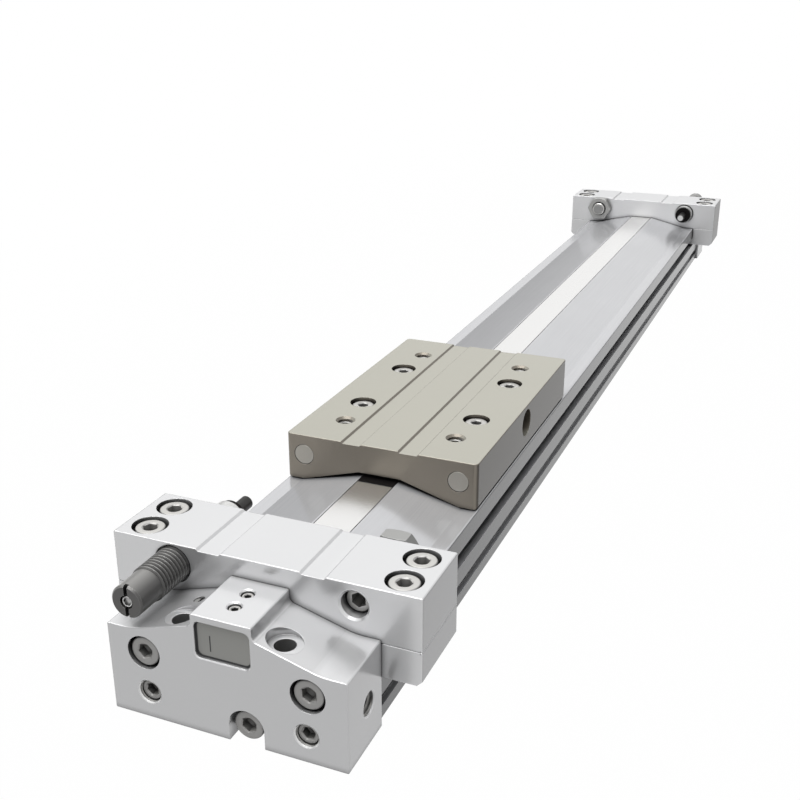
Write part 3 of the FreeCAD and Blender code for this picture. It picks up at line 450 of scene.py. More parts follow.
@dataclass(frozen=True)
class Palette:
    """Every finish on the cylinder."""

    # Painted light on these finishes: lit_top_color is a painted highlight on faces that look up,
    # edge_highlight a painted edge highlight, crevice a painted shade in gaps and holes, and side_shade,
    # front_shade and slope_shade painted shade on faces that look sideways, forwards or down gentle slopes.
    cover: Finish = Finish("machined_aluminium", (0.79, 0.792, 0.80), 0.55, 0.22, grain_size=0.25 * MM,
                           tone=0.006, cloud=0.012, edge_radius=0.2 * MM, edge_highlight=0.16,
                           crevice_shade=0.85, crevice_shade_reach=2.6 * MM, crevice_shade_open=0.82,
                           crevice_shade_full=0.2, side_shade=0.74, slope_shade=0.84, front_shade=0.77)
    unit: Finish = replace(cover, name="milled_aluminium", side_shade=0.5, front_shade=0.9)
    # Painted shade: the same milled aluminium again, darker on its sides at the far end.
    far_unit_shaded: Finish = replace(cover, name="milled_aluminium_far_shaded", metallic=0.3, roughness=0.3,
                               side_shade=0.25, front_shade=1.0, specular=0.2)
    tube: Finish = Finish("drawn_aluminium", (0.63, 0.633, 0.65), 0.42, 0.16, Grain.LENGTHWISE,
                          grain_size=0.22 * MM, tone=0.06, cloud=0.02,
                          edge_radius=0.15 * MM, edge_highlight=0.12, side_shade=0.24, specular=0.3)
    table: Finish = Finish("bronze_grey_anodising", (0.262, 0.236, 0.198), 0.42, 0.27, Grain.MILLED,
                           grain_size=0.3 * MM, tone=0.004, cloud=0.01, crevice_shade=0.95,
                           crevice_shade_open=0.85, crevice_shade_full=0.25, lit_top_color=(0.515, 0.503, 0.435),
                           edge_radius=0.2 * MM,
                           edge_highlight=0.07, side_shade=0.31, specular=0.3)
    band: Finish = Finish("rolled_stainless", (0.885, 0.88, 0.87), 0.95, 0.24, Grain.LENGTHWISE,
                          grain_size=0.3 * MM, tone=0.0, cloud=0.004, crevice_shade=0.98,
                          crevice_shade_reach=3.0 * MM, crevice_shade_open=0.7)
    screw: Finish = Finish("bright_screw_steel", (0.40, 0.395, 0.385), 0.35, 0.42, tone=0.0,
                           cloud=0.02, lit_top_color=(0.62, 0.61, 0.585), edge_radius=0.08 * MM,
                           edge_highlight=0.12, crevice_shade=0.97, crevice_shade_open=0.85)
    nut: Finish = Finish("plated_nut", (0.40, 0.40, 0.39), 0.4, 0.36, tone=0.0, edge_radius=0.1 * MM,
                         edge_highlight=0.20, side_shade=0.6)
    rim: Finish = Finish("turned_rim", (0.72, 0.72, 0.71), 0.4, 0.3, tone=0.0, crevice_shade=0.97,
                         crevice_shade_reach=1.2 * MM, crevice_shade_open=0.85, crevice_shade_full=0.45)
    # Painted highlight: near-white rims for the lit chamfers of the ports.
    highlight_rim: Finish = replace(rim, name="highlight_rim", color=(0.95, 0.95, 0.945), crevice_shade=0.2)
    # Painted shade: a dark lining for the shade inside the mounting holes.
    hole_shade: Finish = Finish("painted_hole_shade", (0.20, 0.20, 0.20), 0.3, 0.4, tone=0.0)
    rod: Finish = Finish("dark_rod", (0.035, 0.034, 0.033), 0.3, 0.3, tone=0.0, specular=0.3)
    thread: Finish = Finish("cut_thread", (0.34, 0.335, 0.32), 0.4, 0.4, tone=0.0, crevice_shade=0.95)
    clamp: Finish = Finish("grey_sintered_clamp", (0.365, 0.365, 0.347), 0.3, 0.42, grain_size=0.2 * MM,
                           tone=0.01, crevice_shade_reach=1.0 * MM)
    # Painted highlight: a lighter top colour on the absorber's upper, +Y side, dark below and to the right.
    absorber: Finish = Finish("dark_plated_steel", (0.125, 0.123, 0.12), 0.35, 0.32, tone=0.0,
                              lit_top_color=(0.34, 0.335, 0.325), lit_top_span=(0.35, 1.05),
                              edge_radius=0.1 * MM, edge_highlight=0.25, crevice_shade=0.97, crevice_shade_reach=1.6 * MM,
                              crevice_shade_open=0.98, specular=0.35)
    steel: Finish = Finish("ground_steel", (0.50, 0.495, 0.48), 0.7, 0.28, tone=0.0,
                           crevice_shade=0.93)
    disc: Finish = Finish("hardened_disc", (0.40, 0.383, 0.345), 0.5, 0.35, tone=0.01,
                          edge_radius=0.1 * MM, edge_highlight=0.08)
    rubber: Finish = Finish("moulded_rubber", (0.006, 0.005, 0.005), 0.0, 0.6, tone=0.1,
                            crevice_shade=0.5, specular=0.1)
    pale_rubber: Finish = Finish("pale_bumper", (0.30, 0.30, 0.295), 0.0, 0.45)
    resin: Finish = Finish("moulded_resin", (0.05, 0.05, 0.052), 0.0, 0.5, tone=0.1)


PALETTE = Palette()


@dataclass
class Shell:
    """Points and faces of one mesh, made of closed forms."""

    points: list[Vector] = field(default_factory=list)
    faces: list[tuple[int, ...]] = field(default_factory=list)

    def sweep(self, sections: Sequence[Sequence[Vector]], place: Matrix, looped: bool = False) -> None:
        """Adds a form through sections that all have the same number of points.

        Args:
            sections: the sections in order, each a closed loop.
            place: matrix that moves them into place.
            looped: whether the last section joins the first one, instead of a face closing each.
        """
        first = len(self.points)
        count = len(sections[0])
        levels = len(sections)
        for section in sections:
            self.points += [place @ point for point in section]
        for level in range(levels if looped else levels - 1):
            start = first + level * count
            end = first + (level + 1) % levels * count
            for i in range(count):
                j = (i + 1) % count
                self.faces.append((start + i, start + j, end + j, end + i))
        if looped:
            return
        last = len(self.points) - count
        self.faces.append(tuple(range(first + count - 1, first - 1, -1)))
        self.faces.append(tuple(range(last, last + count)))

    def turned(self, rings: Sequence[Ring], place: Matrix, spin: float = 0.0, count: int = 48,
               looped: bool = False) -> None:
        """Adds a turned form.

        Args:
            rings: its rings in order along its surface.
            place: matrix from the form's own frame, whose axis is +Z.
            spin: how far its hexagons are turned, in radians.
            count: points round each ring.
            looped: whether it is a tube whose last ring joins its first one.
        """
        angles = [2 * math.pi * i / count for i in range(count)]
        self.sweep([[Vector((ring.reach(angle) * math.cos(angle + spin),
                             ring.reach(angle) * math.sin(angle + spin), ring.height))
                     for angle in angles] for ring in rings], place, looped)

    def thread(self, radius: float, pitch: float, depth: float, length: float, place: Matrix,
               count: int = 28) -> None:
        """Adds the helical ridge of a right-hand thread inside a hole.

        Args:
            radius: radius of the hole.
            pitch: rise of each turn.
            depth: how far the ridge stands in.
            length: how far it runs down from the mouth at the origin, along -Z.
            place: matrix that moves it into place.
            count: steps in each turn.
        """
        width = 0.42 * pitch
        root = radius + 0.02 * MM
        sections = []
        for i in range(int((length / pitch - 1.0) * count) + 1):
            angle = -2 * math.pi * i / count
            height = -width - pitch * i / count
            crest = radius - depth * min(1.0, 3.0 * i / count)
            sections.append([Vector((reach * math.cos(angle), reach * math.sin(angle), height + rise))
                             for reach, rise in ((root, width), (crest, 0.0), (root, -width))])
        self.sweep(sections, place)

    def box(self, low: Vector, high: Vector, place: Matrix) -> None:
        """Adds a box between two corners."""
        loop = [Vector((x, y, low.z)) for x, y in ((low.x, low.y), (high.x, low.y), (high.x, high.y),
                                                    (low.x, high.y))]
        self.sweep([loop, [Vector((point.x, point.y, high.z)) for point in loop]], place)

    def piece(self, name: str, finish: Finish, smooth_angle: float = 30.0) -> bpy.types.Object:
        """Object made of these forms.

        Args:
            name: name of the piece.
            finish: its finish.
            smooth_angle: edges sharper than this many degrees stay sharp.

        Returns:
            The new object.
        """
        mesh = bpy.data.meshes.new(name)
        mesh.from_pydata([tuple(point) for point in self.points], [], self.faces)
        shape = bmesh.new()
        shape.from_mesh(mesh)
        bmesh.ops.recalc_face_normals(shape, faces=shape.faces)
        shape.to_mesh(mesh)
        shape.free()
        mesh.shade_smooth()
        mesh.set_sharp_from_angle(angle=math.radians(smooth_angle))
        made = bpy.data.objects.new(name, mesh)
        bpy.context.scene.collection.objects.link(made)
        return dressed(made, finish)


def facing(place: Vector, outward: Vector) -> Matrix:
    """Matrix whose origin is a point and whose +Z is a direction."""
    return Matrix.Translation(place) @ outward.to_track_quat("Z", "Y").to_matrix().to_4x4()


def fitted(piece: bpy.types.Object, body: str, slot: str, *nodes: str) -> None:
    """Lets a piece ride on a body, and hides the nodes that it stands for.

    Args:
        piece: the object.
        body: the body that carries it.
        slot: its material slot in the record; not used.
        nodes: nodes that it replaces, if any.
    """
    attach(piece, body)
    if nodes:
        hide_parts(*nodes)
    LOG.info("%s on %s: %d faces", piece.name, body, len(piece.data.polygons))


@dataclass(frozen=True)
class Socket:
    """Hexagon socket of a screw."""

    across: float
    depth: float
    lead: float = 0.22 * MM

    def rings(self, top: float) -> list[Ring]:
        """Rings from the mouth down to the floor.

        Args:
            top: height of the face that the socket is in.

        Returns:
            The rings.
        """
        half = self.across / 2
        corner = half / math.cos(math.pi / 6)
        return [Ring(top, corner + self.lead * 0.6), Ring(top - self.lead, half, Section.HEXAGON),
                Ring(top - self.depth, half, Section.HEXAGON),
                Ring(top - self.depth - 0.3 * half, 0.25 * half)]


@dataclass(frozen=True)
class CapScrew:
    """Cap screw with a rounded rim and a lead-in to its socket. Its head's top is at the origin."""

    head_radius: float
    head_height: float
    shank_radius: float
    length: float
    socket: Socket
    rim: float = 0.4 * MM

    def rings(self) -> list[Ring]:
        """Rings from the shank's tip over the rim and into the socket.

        Returns:
            The rings.
        """
        tip = -self.head_height - self.length
        rings = [Ring(tip, self.shank_radius - 0.3 * MM), Ring(tip + 0.3 * MM, self.shank_radius),
                 Ring(-self.head_height, self.shank_radius), Ring(-self.head_height, self.head_radius)]
        for step in range(5):
            angle = math.radians(22.5 * step)
            rings.append(Ring(-self.rim * (1 - math.sin(angle)),
                              self.head_radius - self.rim * (1 - math.cos(angle))))
        return rings + self.socket.rings(0.0)


@dataclass(frozen=True)
class SetScrew:
    """Headless screw with a socket. Its top is at the origin."""

    radius: float
    length: float
    socket: Socket
    edge: float = 0.2 * MM

    def rings(self) -> list[Ring]:
        """Rings from its tip to its socket's floor."""
        return [Ring(-self.length, self.radius - self.edge), Ring(-self.length + self.edge, self.radius),
                Ring(-self.edge, self.radius), Ring(0.0, self.radius - self.edge)] + self.socket.rings(0.0)


@dataclass
class ScrewSet:
    """Like screws in one piece, each turned by its own angle."""

    screw: CapScrew | SetScrew
    places: Sequence[Matrix]
    seed: int

    def piece(self, name: str) -> bpy.types.Object:
        """All the screws as one object.

        Args:
            name: the object's name.

        Returns:
            The object.
        """
        turns = random.Random(self.seed)
        shell = Shell()
        for place in self.places:
            shell.turned(self.screw.rings(), place, turns.uniform(0.0, math.pi / 3))
        return shell.piece(name, PALETTE.screw)


def dressed(piece: bpy.types.Object, finish: Finish) -> bpy.types.Object:
    """Gives a piece one finish all over.

    Args:
        piece: the object.
        finish: its finish.

    Returns:
        The same object.
    """
    piece.data.materials.clear()
    piece.data.materials.append(finish.material())
    return piece


def dress_node(node: str, finish: Finish) -> None:
    """Gives a carried-over node one finish and reports it.

    Args:
        node: name of the node.
        finish: its finish.
    """
    dressed(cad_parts[node], finish)
    LOG.info("%s: %s", node, finish.name)


@dataclass
class TubeAndBands:
    """The slotted tube with its outer and inner band."""

    band_width: float = 9.4 * MM
    band_thickness: float = 0.3 * MM
    seal_width: float = 8.0 * MM
    seal_thickness: float = 0.8 * MM
    tube_top: float = 23.5 * MM
    bore_top: float = 18.5 * MM

    def strip(self, name: str, node: str, width: float, low: float, high: float) -> bpy.types.Object:
        """Flat band along the whole tube, in place of a node that is bent for one carriage place.

        Args:
            name: name of the piece.
            node: the node that it stands for.
            width: how wide the band is.
            low: height of its underside.
            high: height of its top.

        Returns:
            The strip.
        """
        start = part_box(node)[0].x
        shell = Shell()
        shell.box(Vector((start, -width / 2, low)), Vector((-start, width / 2, high)), Matrix())
        finish = PALETTE.band if node == "dust_band" else PALETTE.resin
        piece = shell.piece(name, finish)
        fitted(piece, "root", "stainless_band" if node == "dust_band" else "dark_resin", node)
        return piece

    def build(self) -> None:
        """Dresses the tube and lays both bands."""
        dress_node("cylinder_tube", PALETTE.tube)
        self.strip("dust_band_strip", "dust_band", self.band_width, self.tube_top - self.band_thickness,
                   self.tube_top)
        self.strip("seal_band_strip", "seal_band", self.seal_width, self.bore_top,
                   self.bore_top + self.seal_thickness)


@dataclass
class HeadCover:
    """One head cover with its screws, clamp, gasket and cushion."""

    end: End
    front: float = -220.0 * MM
    width: float = 53.6 * MM
    top: float = 27.5 * MM
    screw: CapScrew = CapScrew(3.3 * MM, 4.0 * MM, 2.0 * MM, 21.0 * MM, Socket(3.0 * MM, 2.0 * MM))
    screw_y: float = 18.4 * MM
    screw_height: float = 15.5 * MM
    screw_recess: float = 0.5 * MM
    low_screw_y: float = -4.55 * MM
    low_screw_height: float = 4.05 * MM
    low_screw_recess: float = 1.0 * MM
    port_radius: float = 2.5 * MM
    port_pitch: float = 0.8 * MM
    port_chamfer: float = 0.3 * MM
    port_y: float = 17.85 * MM
    port_height: float = 6.2 * MM
    side_port_x: float = 9.6 * MM
    side_port_height: float = 9.7 * MM
    side_port_depth: float = 9.0 * MM
    plug: SetScrew = SetScrew(2.46 * MM, 4.5 * MM, Socket(2.5 * MM, 2.0 * MM, 0.3 * MM), 0.3 * MM)
    plug_recess: float = 0.9 * MM
    set_screw: SetScrew = SetScrew(1.33 * MM, 2.7 * MM, Socket(1.3 * MM, 1.2 * MM, 0.15 * MM))
    set_screw_x: tuple[float, float] = (5.7 * MM, 10.8 * MM)
    set_screw_recess: float = 0.6 * MM
    mark_low: Vector = field(default_factory=lambda: Vector((-3.1, -2.5, 0.0)) * MM)
    mark_high: Vector = field(default_factory=lambda: Vector((-2.85, 1.1, 0.03)) * MM)
    window_width: float = 12.3 * MM
    window_height: float = 8.1 * MM
    window_radius: float = 1.3 * MM
    gap_side: float = 0.42 * MM
    gap_top: float = 0.12 * MM
    gap_rise: float = 0.03 * MM
    mount_x: float = 4.6 * MM
    mount_y: float = 11.5 * MM
    mount_radius: float = 2.25 * MM
    mount_floor: float = 22.3 * MM
    clamp_recess: float = 0.8 * MM
    clamp_height: float = 21.85 * MM

    def at(self, x: float, y: float, z: float, outward: tuple[float, float, float]) -> Matrix:
        """Matrix at a depth behind the cover's front, facing outward, at this end.

        Args:
            x: distance behind the front.
            y: distance from the middle, to the left of the near cover.
            z: height.
            outward: direction that the near piece faces.

        Returns:
            The matrix.
        """
        return self.end.turn @ facing(Vector((self.front + x, y, z)), Vector(outward))

    def build(self) -> None:
        """Dresses the pieces of this end and adds its screws and threads."""
        end = self.end.value
        dress_node(f"head_cover_{end}", PALETTE.cover)
        dress_node(f"band_clamp_{end}", PALETTE.clamp)
        dress_node(f"cover_gasket_{end}", PALETTE.rubber)
        dress_node(f"cushion_needle_{end}", PALETTE.steel)
        dress_node(f"cushion_spigot_{end}", PALETTE.steel)
        self.screws()
        self.threads()
        self.mount_hole_shade()
        self.clamp_mark_and_gap_shade()

    def screws(self) -> None:
        """Cap screws in the front face."""
        out = (-1.0, 0.0, 0.0)
        places = [self.at(self.screw_recess, side * self.screw_y, self.screw_height, out)
                  for side in (1, -1)]
        places.append(self.at(self.low_screw_recess, self.low_screw_y, self.low_screw_height, out))
        piece = ScrewSet(self.screw, places, 3).piece(f"cover_cap_screws_{self.end.value}")
        fitted(piece, "root", "screw_steel", f"cover_screws_{self.end.value}")

    def plug_places(self) -> list[Matrix]:
        """Places of this cover's three port plugs.

        Returns:
            One matrix for each plug.
        """
        out = (-1.0, 0.0, 0.0)
        places = [self.at(self.plug_recess, side * self.port_y, self.port_height, out) for side in (1, -1)]
        places.append(self.at(self.side_port_x, self.width / 2 - self.plug_recess, self.side_port_height,
                              (0.0, 1.0, 0.0)))
        return places

    def set_screw_places(self) -> list[Matrix]:
        """Places of the two screws in this cover's ridge."""
        return [self.at(x, 0.0, self.top - self.set_screw_recess, (0.0, 0.0, 1.0)) for x in self.set_screw_x]

    def threads(self) -> None:
        """Threads of the ports, and rims on the front ports' chamfers."""
        shell = Shell()
        deep = self.port_chamfer
        depth = 0.34 * MM
        for side in (1, -1):
            mouth = self.at(deep, side * self.port_y, self.port_height, (-1.0, 0.0, 0.0))
            shell.thread(self.port_radius, 0.5 * MM, 0.2 * MM, self.plug_recess - deep + 0.3 * MM, mouth)
        mouth = self.at(self.side_port_x, -self.width / 2 + deep, self.side_port_height, (0.0, -1.0, 0.0))
        shell.thread(self.port_radius, self.port_pitch, depth, self.side_port_depth - deep - 0.4 * MM, mouth)
        piece = shell.piece(f"port_threads_{self.end.value}", PALETTE.thread)
        fitted(piece, "root", "cover_machined")
        # Painted highlight: near-white rings on the front ports' chamfers.
        rims = Shell()
        wide = self.port_radius + deep + 0.02 * MM
        rings = [Ring(-deep, self.port_radius - 0.01 * MM), Ring(0.015 * MM, wide), Ring(-deep, wide)]
        for side in (1, -1):
            rims.turned(rings, self.at(0.0, side * self.port_y, self.port_height, (-1.0, 0.0, 0.0)),
                        looped=True)
        piece = rims.piece(f"port_highlight_rims_{self.end.value}", PALETTE.highlight_rim)
        fitted(piece, "root", "cover_machined")

    def mount_hole_shade(self) -> None:
        """Painted shade: dark linings inside the two mounting holes."""
        shell = Shell()
        outer = self.mount_radius - 0.01 * MM
        inner = self.mount_radius - 0.03 * MM
        low = 0.2 * MM
        high = self.mount_floor - 0.2 * MM
        rings = [Ring(low, outer), Ring(high, outer), Ring(high, inner), Ring(low, inner)]
        for side in (1, -1):
            place = self.at(self.mount_x, side * self.mount_y, 0.0, (0.0, 0.0, 1.0))
            shell.turned(rings, place, looped=True)
        piece = shell.piece(f"mount_hole_shade_{self.end.value}", PALETTE.hole_shade)
        fitted(piece, "root", "cover_machined")

    def clamp_mark_and_gap_shade(self) -> None:
        """Painted shade as a dark frame in the gap round the clamp, and the short upright line on its face.
        """
        shell = Shell()
        place = self.at(self.clamp_recess, 0.0, self.clamp_height, (-1.0, 0.0, 0.0))
        shell.box(self.mark_low, self.mark_high, place)
        # Painted shade: a dark frame in the gap round the clamp.
        half = Vector((self.window_width, self.window_height)) / 2
        outer = self.rounded((-half.x, -half.y), (half.x, half.y), self.window_radius)
        inner = self.rounded((self.gap_side - half.x, self.gap_side - half.y),
                             (half.x - 0.7 * self.gap_side, half.y - self.gap_top),
                             self.window_radius - self.gap_top)
        levels = [(outer, -self.gap_rise), (outer, self.gap_rise), (inner, self.gap_rise),
                  (inner, -self.gap_rise)]
        shell.sweep([[Vector((x, y, height)) for x, y in loop] for loop, height in levels], place, True)
        piece = shell.piece(f"clamp_gap_shade_{self.end.value}", PALETTE.resin)
        fitted(piece, "root", "clamp_grey")

    def rounded(self, low: tuple[float, float], high: tuple[float, float],
                radius: float) -> list[tuple[float, float]]:
        """Rectangle with round corners.

        Args:
            low: its lower left corner.
            high: its upper right corner.
            radius: radius of its corners.

        Returns:
            Its points, seven at each corner.
        """
        middles = ((high[0] - radius, high[1] - radius), (low[0] + radius, high[1] - radius),
                   (low[0] + radius, low[1] + radius), (high[0] - radius, low[1] + radius))
        points = []
        for quarter, (x, y) in enumerate(middles):
            for step in range(7):
                angle = math.radians(90 * quarter + 15 * step)
                points.append((x + radius * math.cos(angle), y + radius * math.sin(angle)))
        return points


@dataclass
class AdjustingUnit:
    """One adjusting unit with its brackets, stop and shock absorber."""

    end: End
    front: float = -204.3 * MM
    top: float = 31.8 * MM
    screw: CapScrew = CapScrew(3.3 * MM, 4.0 * MM, 2.0 * MM, 12.0 * MM, Socket(3.0 * MM, 2.0 * MM))
    screw_recess: float = 0.4 * MM
    screw_x: tuple[float, float] = (5.15 * MM, 14.45 * MM)
    screw_y: float = 29.55 * MM
    bolt_y: float = -20.9 * MM
    bolt_height: float = 26.9 * MM
    tail: float = -220.6 * MM
    adjuster: SetScrew = SetScrew(1.22 * MM, 0.5 * MM, Socket(1.75 * MM, 0.47 * MM, 0.05 * MM), 0.1 * MM)
    adjuster_recess: float = 0.3 * MM
    absorber_face: float = -181.4 * MM
    sleeve_length: float = 2.8 * MM
    sleeve_radius: float = 4.03 * MM
    sleeve_bore: float = 3.52 * MM

    def build(self) -> None:
        """Dresses the pieces of this end and adds its screws, the absorber's trim and the rod's cap."""
        end = self.end.value
        # The far unit gets the copy of the finish with painted shade on its sides.
        metal = PALETTE.unit if self.end is End.NEAR else PALETTE.far_unit_shaded
        dress_node(f"adjusting_unit_{end}", metal)
        dress_node(f"clamp_bracket_left_{end}", metal)
        dress_node(f"clamp_bracket_right_{end}", metal)
        dress_node(f"stop_bolt_{end}", PALETTE.steel)
        dress_node(f"stop_bumper_{end}", PALETTE.pale_rubber)
        dress_node(f"stop_nut_{end}", PALETTE.nut)
        dress_node(f"absorber_body_{end}", PALETTE.absorber)
        dress_node(f"absorber_collar_{end}", PALETTE.rubber)
        dress_node(f"absorber_rod_{end}", PALETTE.rod)
        dress_node(f"absorber_spring_{end}", PALETTE.steel)
        places = [self.end.turn @ Matrix.Translation((self.front + x, side * self.screw_y,
                                                      self.top - self.screw_recess))
                  for x in self.screw_x for side in (1, -1)]
        piece = ScrewSet(self.screw, places, 5).piece(f"unit_cap_screws_{end}")
        fitted(piece, "root", "screw_steel", f"unit_screws_{end}")
        self.absorber_trim()
        self.rod_cap()

    def absorber_trim(self) -> None:
        """Adjusting screw in the absorber's tail and the bright sleeve round its front."""
        shell = Shell()
        tail = facing(Vector((self.tail + self.adjuster_recess, -self.bolt_y, self.bolt_height)),
                      Vector((-1.0, 0.0, 0.0)))
        shell.turned(self.adjuster.rings(), self.end.turn @ tail)
        front = facing(Vector((self.absorber_face - self.sleeve_length, -self.bolt_y, self.bolt_height)),
                       Vector((1.0, 0.0, 0.0)))
        length = self.sleeve_length + 0.03 * MM
        edge = 0.15 * MM
        rings = [Ring(0.0, self.sleeve_bore), Ring(0.0, self.sleeve_radius),
                 Ring(length - edge, self.sleeve_radius), Ring(length, self.sleeve_radius - edge),
                 Ring(length, self.sleeve_bore)]
        shell.turned(rings, self.end.turn @ front, looped=True)
        piece = shell.piece(f"absorber_trim_{self.end.value}", PALETTE.rim)
        fitted(piece, "root", "screw_steel")

    def rod_cap(self) -> None:
        """Bright ground face on the tip of the absorber's rod."""
        low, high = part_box(f"absorber_rod_{self.end.value}")
        middle = (low + high) / 2
        tip = high.x if self.end is End.NEAR else -low.x
        shell = Shell()
        rings = [Ring(-0.25 * MM, 1.0 * MM), Ring(-0.25 * MM, 1.4 * MM), Ring(0.02 * MM, 1.3 * MM)]
        place = facing(Vector((tip, -self.bolt_y, middle.z)), Vector((1.0, 0.0, 0.0)))
        shell.turned(rings, self.end.turn @ place)
        piece = shell.piece(f"rod_cap_{self.end.value}", PALETTE.rim)
        fitted(piece, f"absorber_plunger_{self.end.value}", "screw_steel")


@dataclass
class Carriage:
    """The carriage table and everything that moves with it."""

    screw: CapScrew = CapScrew(3.2 * MM, 2.8 * MM, 2.0 * MM, 6.2 * MM, Socket(2.5 * MM, 1.6 * MM),
                               0.7 * MM)
    screw_x: float = 14.45 * MM
    screw_y: float = 16.3 * MM
    screw_recess: float = 0.75 * MM
    hole_x: float = 27.7 * MM
    hole_y: float = 15.35 * MM
    hole_radius: float = 2.0 * MM
    hole_chamfer: float = 0.6 * MM
    hole_depth: float = 7.0 * MM
    hole_pitch: float = 0.7 * MM
    lip_reach: float = 2.5 * MM
    lip_tail: float = 1.1 * MM
    lip_width: float = 9.4 * MM
    lip_low: float = 23.53 * MM
    lip_thickness: float = 0.12 * MM

    def corners(self, x: float, y: float, drop: float) -> list[Matrix]:
        """Four places below the table's top, in a rectangle round its middle.

        Args:
            x: half the rectangle's length.
            y: half its width.
            drop: how far below the top they are.

        Returns:
            A matrix for each corner.
        """
        low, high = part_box("carriage_table")
        middle = (low + high) / 2
        return [Matrix.Translation((middle.x + sx * x, sy * y, high.z - drop))
                for sx in (-1, 1) for sy in (1, -1)]

    def build(self) -> None:
        """Dresses the carriage and adds its screws and threads."""
        dress_node("carriage_table", PALETTE.table)
        dress_node("stop_discs", PALETTE.disc)
        dress_node("piston_yoke", PALETTE.steel)
        dress_node("piston_dowels", PALETTE.steel)
        dress_node("piston_magnets", PALETTE.absorber)
        dress_node("roller_shafts", PALETTE.steel)
        dress_node("bearing_pads", PALETTE.resin)
        for end in End:
            dress_node(f"piston_{end.value}", PALETTE.resin)
            dress_node(f"piston_seal_{end.value}", PALETTE.rubber)
            dress_node(f"wear_ring_{end.value}", PALETTE.resin)
            dress_node(f"band_guide_{end.value}", PALETTE.resin)
            dress_node(f"scraper_{end.value}", PALETTE.rubber)
            dress_node(f"guide_roller_{end.value}", PALETTE.resin)
        places = self.corners(self.screw_x, self.screw_y, self.screw_recess)
        piece = ScrewSet(self.screw, places, 9).piece("carriage_cap_screws")
        fitted(piece, "carriage", "screw_steel", "carriage_screws")
        shell = Shell()
        for place in self.corners(self.hole_x, self.hole_y, self.hole_chamfer):
            shell.thread(self.hole_radius, self.hole_pitch, 0.33 * MM,
                         self.hole_depth - self.hole_chamfer - 0.3 * MM, place)
        piece = shell.piece("table_threads", PALETTE.thread)
        fitted(piece, "carriage", "table_anodised")
        self.scraper_lips_and_shade()

    def scraper_lips_and_shade(self) -> None:
        """Black sheets flat on the dust band at both ends, past the table's fronts: the scrapers' lips, and
        painted shade of the dark gap under the table.
        """
        low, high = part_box("carriage_table")
        shell = Shell()
        for start, end in ((low.x - self.lip_reach, low.x + self.lip_tail),
                           (high.x - self.lip_tail, high.x + self.lip_reach)):
            shell.box(Vector((start, -self.lip_width / 2, self.lip_low)),
                      Vector((end, self.lip_width / 2, self.lip_low + self.lip_thickness)), Matrix())
        fitted(shell.piece("scraper_lips_and_shade", PALETTE.rubber), "carriage", "black_rubber")


